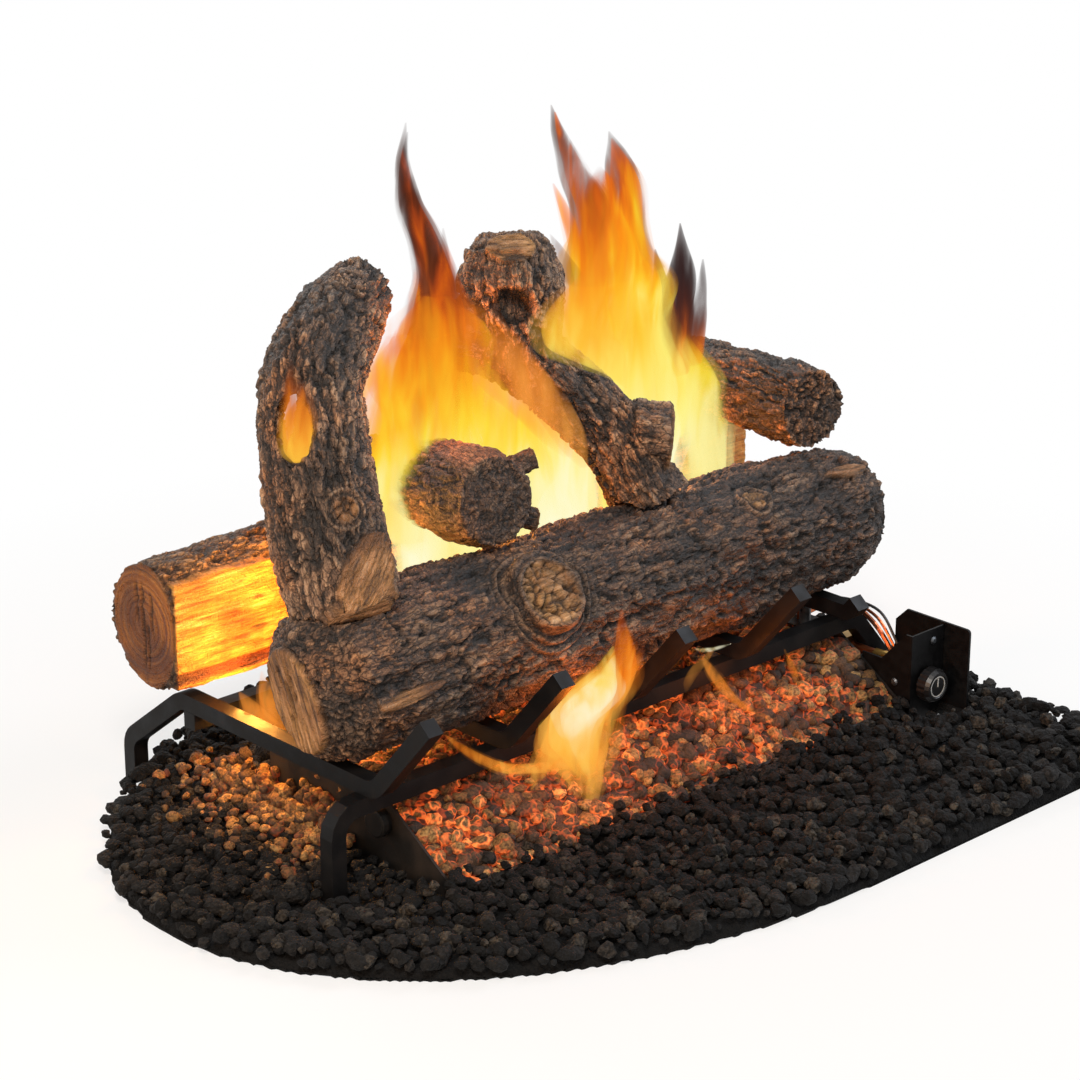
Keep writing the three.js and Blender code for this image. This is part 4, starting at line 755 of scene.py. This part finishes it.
def makeLava(b, p):
    pitch = b["pitch"] * coarse
    x, y, draw = scattered(b["low"], b["high"], pitch, 0.38, b["seed"])
    sizes = b["stone"] * draw.uniform(*b["sizes"], size=len(x)) * coarse
    tops = topsOf("lava_rock_bed", x, y)
    for sideX, sideY in ((0.8, 0), (-0.8, 0), (0, 0.8), (0, -0.8)):
        beside = topsOf("lava_rock_bed", x + sideX * sizes, y + sideY * sizes)
        tops = np.where(np.isnan(beside), np.nan, tops)
    keep = ~np.isnan(tops)
    x, y, sizes, tops = x[keep], y[keep], sizes[keep], tops[keep]
    z = np.maximum(tops - sizes * 0.15 + draw.uniform(-3, 3, size=len(x)), sizes * 0.6)
    centres = [np.stack([x, y, z], axis=1)]
    for start, end, rowY, rowZ, share in p["rows"]:
        along = np.arange(start, end, p["pitch"])
        along = along[draw.uniform(0, 1, size=len(along)) < share]
        stray = draw.uniform(-4, 4, size=(len(along), 3))
        row = np.full((len(along), 3), (0, rowY, rowZ), dtype=float)
        row[:, 0] = along
        centres.append(row + stray)
    edgeCount = sum(len(row) for row in centres[1:])
    centres = np.concatenate(centres)
    sizes = np.concatenate([sizes, p["stone"] * draw.uniform(0.7, 1.25, size=edgeCount)])
    places, faces, tone, _ = stones(centres, sizes, b)
    places[:, 2] = np.maximum(places[:, 2], 0.3)
    made = meshOf("lava_granules", places * mm, faces, smooth=False)
    store(made.data, "tone", tone)
    away = np.hypot((places[:, 0] - b["fire"][0]) / 1.2, places[:, 1] - b["fire"][1])
    # Stones near the left embers take a warm tan of painted firelight
    store(made.data, "heat", 0.5 * (1 - eased(away, 60, 220)) * eased(tone, 0.3, 0.9))
    made.data.materials.append(materials["lava_rock"])
    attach(made, "root")
    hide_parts("lava_rock_bed")
    under = skinOf("lava_rock_bed", "lava_fines_in_painted_shade", b["fines"])
    fines = placesOf(under.data) / mm
    raised = fines[:, 2] > 5
    fines[:, 2] = np.maximum(np.where(raised, fines[:, 2] - b["sunk"], fines[:, 2]), 0.2)
    fines[:, :2] *= 0.98
    under.data.vertices.foreach_set("co", (fines * mm).ravel())
    under.data.update()
    # The sunk sheet under the stones takes the darkest tone, painted shade in the gaps between them
    store(under.data, "tone", np.full(len(fines), 0.05))
    store(under.data, "heat", np.zeros(len(fines)))
    under.data.materials.append(materials["lava_rock"])
    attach(under, "root")


makeLava(lavaBed, raked)
say("lava rock")

# Embers: tufts of 9 to 22 mm over the sand, on the pan's sloping apron and up to its rim, with some spilled
# over the left cheek on to the lava. The hottest spots are a place and a reach.
emberBed = {
    "low": (-246, -137), "high": (337, 107), "pitch": 11.5, "tuft": 8.2, "sizes": (0.55, 1.4), "seed": 9,
    "flats": 4, "bumps": 0.16, "squash": 0.82,
    "hot": [(-60, -110, 90), (110, -120, 80), (-190, -110, 70), (230, -120, 70), (30, -50, 110),
            (-230, 60, 90)],
    "spill": {"low": (-356, -10), "high": (-252, 226), "pitch": 9.6, "tuft": 5.4},
    "bank": {"x": (-276, -253), "y": (10, 175), "z": (20, 60), "count": 260, "tuft": 6.4},
}


def makeEmbers(b):
    pitch = b["pitch"] * coarse
    x, y, draw = scattered(b["low"], b["high"], pitch, 0.34, b["seed"])
    x = np.clip(x, b["low"][0] + 5, b["high"][0] - 4)
    y = np.clip(y, b["low"][1] + 4, b["high"][1] - 5)
    sizes = b["tuft"] * draw.uniform(*b["sizes"], size=len(x)) * coarse
    tops = topsOf("ember_bed", x, y)
    keep = ~np.isnan(tops)
    x, y, sizes, tops = x[keep], y[keep], sizes[keep], tops[keep]
    z = tops - 0.35 * sizes + draw.uniform(-2.5, 2.5, size=len(x))
    s = b["spill"]
    spillX, spillY, draw = scattered(s["low"], s["high"], s["pitch"], 0.45, b["seed"] + 1)
    spillSizes = s["tuft"] * draw.uniform(0.6, 1.25, size=len(spillX))
    spillTops = topsOf("lava_rock_bed", spillX, spillY)
    near = (spillX - s["low"][0]) / (s["high"][0] - s["low"][0])
    keep = ~np.isnan(spillTops) & (draw.uniform(0, 1, size=len(spillX)) < 0.08 + 1.0 * near ** 1.5)
    keep &= ~np.isnan(topsOf("lava_rock_bed", spillX + spillSizes, spillY))
    x = np.concatenate([x, spillX[keep]])
    y = np.concatenate([y, spillY[keep]])
    k = b["bank"]
    nearness = draw.uniform(0, 1, size=k["count"])
    bankX = k["x"][0] + (k["x"][1] - k["x"][0]) * nearness
    bankY = draw.uniform(*k["y"], size=k["count"])
    bankZ = k["z"][0] + (k["z"][1] - k["z"][0]) * nearness * draw.uniform(0.4, 1, size=k["count"])
    x = np.concatenate([x, bankX])
    y = np.concatenate([y, bankY])
    z = np.concatenate([z, spillTops[keep] + 2 + 10 * near[keep] ** 3, bankZ])
    sizes = np.concatenate([sizes, spillSizes[keep], k["tuft"] * draw.uniform(0.7, 1.3, size=k["count"])])
    places, faces, tone, height = stones(np.stack([x, y, z], axis=1), sizes, b)
    made = meshOf("ember_tufts", places * mm, faces)
    heat = np.zeros(len(places))
    for hx, hy, reach in b["hot"]:
        away = np.hypot(places[:, 0] - hx, places[:, 1] - hy)
        heat = np.maximum(heat, 1 - eased(away, reach * 0.2, reach * 1.5))
    outside = places[:, 0] < -250
    store(made.data, "tone", np.where(outside, 0.1 + 0.85 * tone, tone))
    inside = (0.34 + 0.5 * heat) * (0.45 + 0.65 * eased(tone, 0.2, 0.8))
    inside = inside * (1 - 0.35 * eased(places[:, 0], 40, 260))
    store(made.data, "glow", np.where(outside, 0.16, inside))
    store(made.data, "rim", 1 - eased(height, -0.5, 0.35))
    made.data.materials.append(materials["ember"])
    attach(made, "root")
    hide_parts("ember_bed")
    under = skinOf("ember_bed", "ember_base", 5)
    base = placesOf(under.data)
    base[:, 2] -= 4 * mm
    under.data.vertices.foreach_set("co", base.ravel())
    for label, value in (("tone", 0.1), ("glow", 0.45), ("rim", 0.35)):
        store(under.data, label, np.full(len(base), value))
    under.data.materials.append(materials["ember"])
    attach(under, "root")


makeEmbers(emberBed)
say("embers")

# Rolled edges: how far the corners of each bar, sheet and fitting are rounded, by the start of its name
edges = {
    "grate": 2.6, "burner_pan": 0.6, "burner_end_cap": 0.6, "burner_elbow": 1.2, "valve_cover": 0.7,
    "valve_bracket": 0.7, "valve_body": 0.6, "feed_nut": 0.5, "supply_nut": 0.5, "gas_inlet_nut": 0.6,
    "pilot_bracket": 0.4, "control_knob": 0.5, "cover_screw": 0.3, "bracket_screw": 0.3,
}
slots = {part["node"]: part["material_slot"] for part in frame["record"]["subparts"]}
for name, node in nodes.items():
    if not len(node.data.materials):
        node.data.materials.append(materials[slots[name]])
    for place in node.material_slots:
        place.material = materials[slots[name]]
    for width in [width for label, width in edges.items() if name.startswith(label)]:
        rolled = node.modifiers.new("rolled edges", "BEVEL")
        rolled.width = width * mm
        rolled.segments = 3
        rolled.limit_method = "ANGLE"
        rolled.angle_limit = math.radians(35)
say("steel and fittings")

# The pointer on the knob: a line and a ring, printed on its face
knobMark = {"x": 363, "y": -165.05, "z": 42, "ring": (9.6, 10.6), "line": (1.3, 9.0), "thick": 0.5}


def makeKnobMark(k):
    steps = 40
    places = []
    faces = []
    for i in range(steps):
        angle = 2 * math.pi * i / steps
        for radius in k["ring"]:
            across, up = radius * math.cos(angle), radius * math.sin(angle)
            places += [(k["x"] + across, k["y"] + depth, k["z"] + up) for depth in (0, k["thick"])]
        a, b = 4 * i, 4 * ((i + 1) % steps)
        faces += [(a, a + 2, b + 2, b), (a + 1, b + 1, b + 3, a + 3)]
        faces += [(a, b, b + 1, a + 1), (a + 2, a + 3, b + 3, b + 2)]
    wide, tall = k["line"]
    first = len(places)
    for px, pz in ((-wide / 2, 0), (wide / 2, 0), (wide / 2, tall), (-wide / 2, tall)):
        places += [(k["x"] + px, k["y"] + depth, k["z"] + pz) for depth in (0, k["thick"])]
    faces += [tuple(first + i for i in f) for f in
              ((0, 2, 4, 6), (1, 7, 5, 3), (0, 1, 3, 2), (2, 3, 5, 4), (4, 5, 7, 6), (6, 7, 1, 0))]
    made = meshOf("knob_pointer", np.array(places) * mm, np.array(faces), smooth=False)
    made.data.materials.append(plainSkin("pad-printed white ink", "B9B9B6", "C9C9C6", 0.5, 1.1, 0.1))
    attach(made, "knob")


makeKnobMark(knobMark)
say("knob")

# Burning gas is light, not a part. Each kind has its colours from the foot to the tip, the heights between
# which they run, how thick it is at the foot and at the tip, how far streaks shift its colours and how fine
# they are.
gases = {
    "tongue": ("FFE040 FFB422 FF7C14 B4481A 6E2E18 3E1C10", (235, 560), (70, 240), 0.4, 1.2),
    "crest": ("FFF27A FFD234 FFB01E FF8C1A E0641A 8A3C1A", (340, 615), (70, 200), 0.36, 1),
    "dusk": ("FF9C2A D0661E 7A3A22 4A2822 33201F", (310, 430), (60, 330), 0.3, 1),
    "smoke": ("8A4420 5E301A 4C2A1A", (430, 600), (40, 130), 0.4, 1),
    "mass": ("FFF4A0 FFE23C FFC42A FF9A1C F07018", (250, 470), (55, 45), 0.34, 1),
    "core": ("FFFFE6 FFF9A0 FFE86A FFC83A", (230, 420), (90, 60), 0.24, 1),
    "veil": ("FFA848 FF9434 F07C28", (310, 470), (22, 13), 0.5, 1),
    "low": ("FFB048 FFA038 FF9024 F07418 C85418", (40, 210), (38, 80), 0.5, 1.8),
    "lowMid": ("FFB038 FFC850 FFD868 FFC040", (60, 165), (60, 60), 0.4, 1.8),
    "lowCore": ("FFE070 FFF4B0 FFFBE0 FFF8D0 FFE070", (85, 160), (95, 95), 0.2, 1.8),
    "lap": ("FFE060 FFC038 FF9C28 F07C20", (370, 530), (60, 34), 0.4, 1),
    "hole": ("FFC040 F8982C DC7420 A8501C 6E3818", (384, 470), (200, 50), 0.3, 1.8),
    "lick": ("E87820 FF9030 FFA040", (30, 130), (40, 50), 0.5, 2.2),
}
# A kind, one y or a y for each station, and the stations in x, z and half width
flames = [
    ("tongue", 100, [(-85, 240, 24), (-100, 290, 27), (-95, 335, 32), (-75, 380, 33), (-60, 420, 30),
        (-50, 455, 25), (-55, 490, 19), (-70, 525, 13), (-85, 560, 9), (-90, 590, 5), (-85, 620, 1)]),
    ("smoke", 102, [(-55, 430, 33), (-48, 460, 29), (-53, 490, 22), (-68, 525, 16), (-83, 560, 12),
        (-90, 592, 8), (-85, 628, 1)]),
    ("smoke", 112, [(-45, 425, 20), (-38, 455, 15), (-34, 490, 9), (-34, 522, 1)]),
    ("mass", 95, [(-14, 205, 100), (-14, 235, 102), (-18, 270, 106), (-30, 310, 106), (-44, 355, 96),
        (-54, 395, 76), (-58, 430, 48), (-57, 468, 14)]),
    ("mass", 95, [(-112, 290, 30), (-122, 330, 36), (-124, 370, 34), (-116, 405, 24), (-108, 440, 8)]),
    ("core", 96, [(-78, 205, 22), (-76, 250, 26), (-64, 310, 23), (-52, 360, 16), (-44, 395, 3)]),
    ("lick", 110, [(-240, 80, 8), (-255, 95, 18), (-265, 110, 14), (-275, 125, 8), (-285, 140, 1)]),
    ("lick", 115, [(-225, 85, 6), (-240, 105, 14), (-250, 125, 10), (-255, 150, 1)]),
    ("mass", 98, [(90, 200, 60), (95, 235, 58), (85, 270, 52), (68, 310, 36), (45, 352, 8)]),
    ("core", 96, [(80, 205, 54), (90, 245, 48), (76, 280, 42), (62, 312, 28), (48, 340, 4)]),
    ("veil", [6, 12, 22, 38, 58, 74], [(24, 316, 5), (0, 352, 26), (-18, 384, 36), (-30, 414, 32),
        (-36, 440, 22), (-42, 470, 4)]),
    ("veil", [-4, 4, 14, 28, 44, 60], [(34, 306, 4), (24, 332, 17), (6, 366, 26), (-14, 396, 26),
        (-26, 430, 14), (-20, 462, 3)]),
    ("crest", 100, [(200, 140, 26), (198, 190, 34), (195, 240, 38), (195, 270, 44), (182, 315, 46),
        (170, 360, 46), (162, 400, 38), (160, 440, 30), (153, 480, 24), (140, 517, 18), (121, 553, 11),
        (104, 584, 6), (94, 612, 1)]),
    ("crest", 100, [(240, 140, 22), (236, 200, 26), (232, 260, 30), (230, 310, 36), (216, 360, 40),
        (200, 402, 35), (192, 444, 28), (188, 484, 23), (187, 518, 18), (181, 548, 11), (168, 576, 1)]),
    ("crest", 98, [(235, 265, 30), (210, 310, 50), (182, 365, 56), (170, 418, 50), (163, 460, 42),
        (158, 500, 30), (153, 530, 18), (150, 552, 2)]),
    ("smoke", 104, [(158, 440, 40), (150, 480, 32), (140, 517, 23), (120, 556, 14), (103, 588, 9),
        (93, 618, 1)]),
    ("smoke", 104, [(200, 440, 34), (194, 480, 27), (190, 520, 21), (182, 552, 14), (168, 582, 1)]),
    ("core", [78, 78, 78, 80, 84, 88, 90], [(196, 240, 38), (190, 300, 42), (184, 350, 40), (176, 395, 30),
        (168, 435, 20), (160, 470, 12), (154, 505, 2)]),
    ("crest", 100, [(143, 400, 16), (138, 440, 14), (122, 484, 11), (106, 518, 6), (92, 545, 1)]),
    ("smoke", 104, [(127, 410, 18), (120, 447, 15), (104, 478, 8), (92, 496, 1)]),
    ("dusk", 100, [(243, 330, 28), (250, 372, 30), (257, 402, 24), (263, 427, 16), (265, 451, 8),
        (262, 478, 1)]),
    ("dusk", 100, [(266, 335, 24), (280, 366, 20), (290, 390, 11), (294, 410, 6), (295, 436, 1)]),
    ("dusk", 100, [(240, 350, 18), (238, 400, 13), (234, 430, 7), (228, 458, 1)]),
    ("mass", [92, 92, 92, 92, 92, 92, 94, 96], [(280, 120, 16), (286, 160, 24), (292, 200, 27),
        (297, 232, 30), (292, 270, 30), (282, 310, 27), (262, 350, 20), (250, 385, 5)]),
    ("lap", 5, [(95, 368, 2), (82, 386, 14), (60, 408, 28), (32, 428, 34), (30, 446, 33), (38, 462, 28),
        (54, 486, 18), (64, 510, 9), (68, 534, 1)]),
    ("hole", 8, [(-288, 384, 8), (-290, 395, 13), (-290, 415, 13), (-292, 435, 11), (-294, 455, 7),
        (-295, 475, 1)]),
    ("hole", 43, [(-262, 382, 10), (-262, 395, 14), (-262, 410, 12), (-262, 422, 3)]),
    ("low", -113, [(-56, 24, 1), (-62, 42, 9), (-70, 65, 20), (-78, 92, 33), (-80, 116, 40), (-70, 138, 33),
        (-56, 155, 18), (-46, 170, 1)]),
    ("low", -113, [(-135, 72, 1), (-124, 85, 10), (-110, 100, 18), (-96, 116, 24), (-82, 132, 24),
        (-66, 148, 14), (-54, 162, 1)]),
    ("low", [-113, -113, -112, -112, -110, -108], [(-100, 84, 14), (-128, 90, 16), (-155, 97, 13),
        (-180, 110, 9), (-206, 128, 6), (-232, 152, 1)]),
    ("low", [-114, -114, -114, -116, -118, -120, -122], [(-64, 112, 14), (-52, 128, 26), (-44, 142, 29),
        (-31, 158, 20), (-26, 176, 11), (-31, 196, 6), (-34, 219, 1)]),
    ("low", [-114, -115, -116, -117], [(-54, 132, 16), (-28, 146, 14), (-8, 160, 7), (0, 175, 1)]),
    ("lowMid", -122, [(-68, 50, 1), (-76, 72, 10), (-86, 96, 22), (-92, 116, 33), (-84, 136, 35),
        (-70, 153, 24), (-54, 168, 11), (-44, 186, 1)]),
    ("lowMid", -118, [(-122, 86, 1), (-110, 102, 9), (-98, 118, 13), (-86, 130, 10)]),
    ("lowCore", -128, [(-102, 112, 1), (-98, 122, 13), (-92, 132, 22), (-82, 142, 28), (-70, 152, 22),
        (-58, 164, 10), (-48, 180, 1)]),
    ("lowCore", [-126, -126, -126, -128, -128, -128], [(-76, 66, 1), (-84, 90, 7), (-90, 112, 14),
        (-86, 130, 18), (-74, 146, 14), (-62, 168, 1)]),
    ("lick", [-114, -113, -112, -112, -112, -112], [(190, 38, 1), (160, 57, 4), (132, 76, 6), (112, 97, 7),
        (96, 117, 7), (82, 136, 2)]),
    ("lowCore", [-108, -110, -112, -112], [(124, 137, 1), (106, 139, 5), (88, 142, 6), (72, 148, 1)]),
    ("veil", -112, [(60, 106, 1), (66, 120, 8), (84, 134, 8), (98, 142, 1)]),
    ("lick", -112, [(218, 64, 1), (211, 82, 4), (204, 97, 4), (195, 113, 1)]),
]
# A thin halo round the bright kinds softens their edge
halo = {"grow": 1.4, "thin": 0.16}


def burningGas(kind, g, thinned):
    material, add, place = newMaterial("burning gas, " + kind)
    lift = add("SeparateXYZ", {"Vector": place}).outputs["Z"]
    colours, heights, thickness, streak, fine = g
    colours = colours.split()
    # Streaks 25 mm wide and five times as tall, or finer
    wide, tall = 40.0 * fine, 8.0 * fine
    stretch = add("VectorMath", {0: place, 1: (wide, wide, tall)}, operation="MULTIPLY")
    wisps = add("TexNoise", {"Vector": stretch, "Scale": 1.0, "Detail": 3.0, "Distortion": 1.1})
    low, high = (level * mm for level in heights)
    share = add("MapRange", {"Value": lift, "From Min": low, "From Max": high})
    stray = add("MapRange", {
        "Value": wisps, "From Min": 0.3, "From Max": 0.7, "To Min": streak, "To Max": -streak})
    shift = add("Math", {0: share, 1: stray}, operation="ADD")
    stops = [(0.04 + 0.92 * i / (len(colours) - 1), colour) for i, colour in enumerate(colours)]
    colour = add("ValToRGB", {"Fac": shift}, stops=stops)
    foot, tip = (value * thinned for value in thickness)
    thick = add("MapRange", {"Value": lift, "From Min": low, "From Max": high, "To Min": foot, "To Max": tip})
    tatter = add("MapRange", {
        "Value": wisps, "From Min": 0.36, "From Max": 0.62, "To Min": 0.12, "To Max": 1.5})
    body = add("Math", {0: thick, 1: tatter}, operation="MULTIPLY")
    glow = add("Emission", {"Color": colour, "Strength": body})
    veil = add("VolumeAbsorption", {"Color": (0, 0, 0, 1), "Density": body})
    both = add("AddShader", {0: glow, 1: veil})
    add("OutputMaterial", {"Volume": both})
    return material


def makeFlame(name, y, stations, gas, grow):
    x, z, half = np.array(stations).T
    line = smoothLine(np.stack([x, np.broadcast_to(y, len(x)), z, half], axis=1))
    line[:, 3] = np.maximum(line[:, 3] * grow, 0.8)
    sides = 16
    angle = 2 * np.pi * np.arange(sides) / sides
    places = []
    for x, y, z, half in line:
        wobble = 1 + 0.14 * np.sin(2 * angle + 0.05 * z) + 0.09 * np.sin(3 * angle - 0.08 * z)
        deep = min(0.6 * half, 34)
        ring = [x + half * wobble * np.cos(angle), y + deep * wobble * np.sin(angle), np.full(sides, z)]
        places.append(np.stack(ring, axis=1))
    places = np.concatenate(places)
    faces = []
    for i in range(len(line) - 1):
        for k in range(sides):
            n = (k + 1) % sides
            faces.append((i * sides + k, i * sides + n, (i + 1) * sides + n, (i + 1) * sides + k))
    caps = [tuple(range(sides))[::-1], tuple(range((len(line) - 1) * sides, len(line) * sides))]
    mesh = bpy.data.meshes.new(name)
    mesh.from_pydata((places * mm).tolist(), [], faces + caps)
    mesh.materials.append(gas)
    made = newObject(name, mesh)
    made.visible_diffuse = False
    made.visible_glossy = False
    made.visible_shadow = False


burning = {kind: burningGas(kind, g, 1) for kind, g in gases.items()}
bright = [kind for kind in gases if kind not in ("dusk", "smoke", "veil")]
fading = {kind: burningGas(kind + " halo", gases[kind], halo["thin"]) for kind in bright}
for number, (kind, y, stations) in enumerate(flames):
    makeFlame("flame_" + str(number + 1), y, stations, burning[kind], 1)
    if kind in fading:
        makeFlame("halo_" + str(number + 1), y, stations, fading[kind], halo["grow"])
say("flames")

# Stage: a pale floor that keeps the shadow and turns white away from the object, for camera and reflections
stageSet = {"floor": 12.0, "grey": "E9E9E7", "lift": 0.68, "near": 0.5, "far": 1.0, "ambient": 0.27}


def seenDirectly(material):
    path = addNode(material, "LightPath")
    first = addNode(material, "Math", {0: path.outputs["Is Camera Ray"], 1: path.outputs["Is Glossy Ray"]},
                    operation="MAXIMUM")
    return addNode(material, "Math", {0: first, 1: path.outputs["Is Transmission Ray"]}, operation="MAXIMUM")


def makeStage(s):
    bpy.ops.mesh.primitive_plane_add(size=s["floor"], location=(0, 0, 0))
    floor = bpy.context.object
    floor.name = "floor"
    material, add, place = newMaterial("pale floor")
    away = add("VectorMath", {0: place}, operation="LENGTH")
    lift = add("MapRange", {
        "Value": away, "From Min": s["near"], "From Max": s["far"], "To Min": s["lift"], "To Max": 1.0})
    share = add("Math", {0: seenDirectly(material), 1: lift}, operation="MULTIPLY")
    matt = add("BsdfDiffuse", {"Color": linear(s["grey"])})
    white = add("Emission", {"Color": (1, 1, 1, 1), "Strength": 1.0})
    both = add("MixShader", {0: share, 1: matt, 2: white})
    add("OutputMaterial", {"Surface": both})
    floor.data.materials.append(material)
    world = bpy.data.worlds.new("studio")
    world.use_nodes = True
    world.node_tree.nodes.clear()
    strength = addNode(world, "MapRange", {"Value": seenDirectly(world), "To Min": s["ambient"]})
    sky = addNode(world, "Background", {"Color": (1, 1, 1, 1), "Strength": strength})
    addNode(world, "OutputWorld", {"Surface": sky})
    bpy.context.scene.world = world


makeStage(stageSet)

# Lamps: a large soft key, a fill and a rim that are aimed, and small warm ones where the gas burns.
# Each has its place, its aim if it is an area, its size, power and colour.
lamps = {
    "key": ((-1.6, -1.5, 2.6), (0, 0, 0.2), 0.7, 70, "FFF6EC"),
    "fill": ((2.2, -1.0, 1.8), (0, 0, 0.2), 1.0, 36, "EAF1FF"),
    "rim": ((0.6, 2.2, 2.0), (0, 0, 0.2), 1.6, 28, "FFFFFF"),
    "warm": ((-1.5, -0.5, 0.55), (-0.2, 0, 0.25), 0.7, 11, "FFC890"),
    "fire_left": ((-0.19, 0.105, 0.24), None, 0.03, 1.7, "FFB050"),
    "fire_middle": ((-0.03, 0.105, 0.27), None, 0.03, 1.8, "FF9838"),
    "fire_right": ((0.2, 0.105, 0.29), None, 0.03, 2.0, "FF9838"),
    "fire_crown": ((-0.07, 0.06, 0.42), None, 0.03, 0.75, "FF8A2C"),
    "ember_left": ((-0.262, 0.12, 0.125), None, 0.02, 1.3, "FFA848"),
    "ember_front": ((-0.06, -0.13, 0.12), None, 0.02, 0.45, "FF8428"),
    "ember_right": ((0.14, -0.12, 0.11), None, 0.02, 0.3, "FF8428"),
}
for name, (place, aim, size, power, colour) in lamps.items():
    data = bpy.data.lights.new(name, "AREA" if aim else "POINT")
    data.energy = power
    data.color = linear(colour)[:3]
    made = newObject(name, data)
    made.location = place
    if aim:
        data.size = size
        made.rotation_euler = (Vector(aim) - Vector(place)).to_track_quat("-Z", "Y").to_euler()
    else:
        data.shadow_soft_size = size
say("stage and lamps")
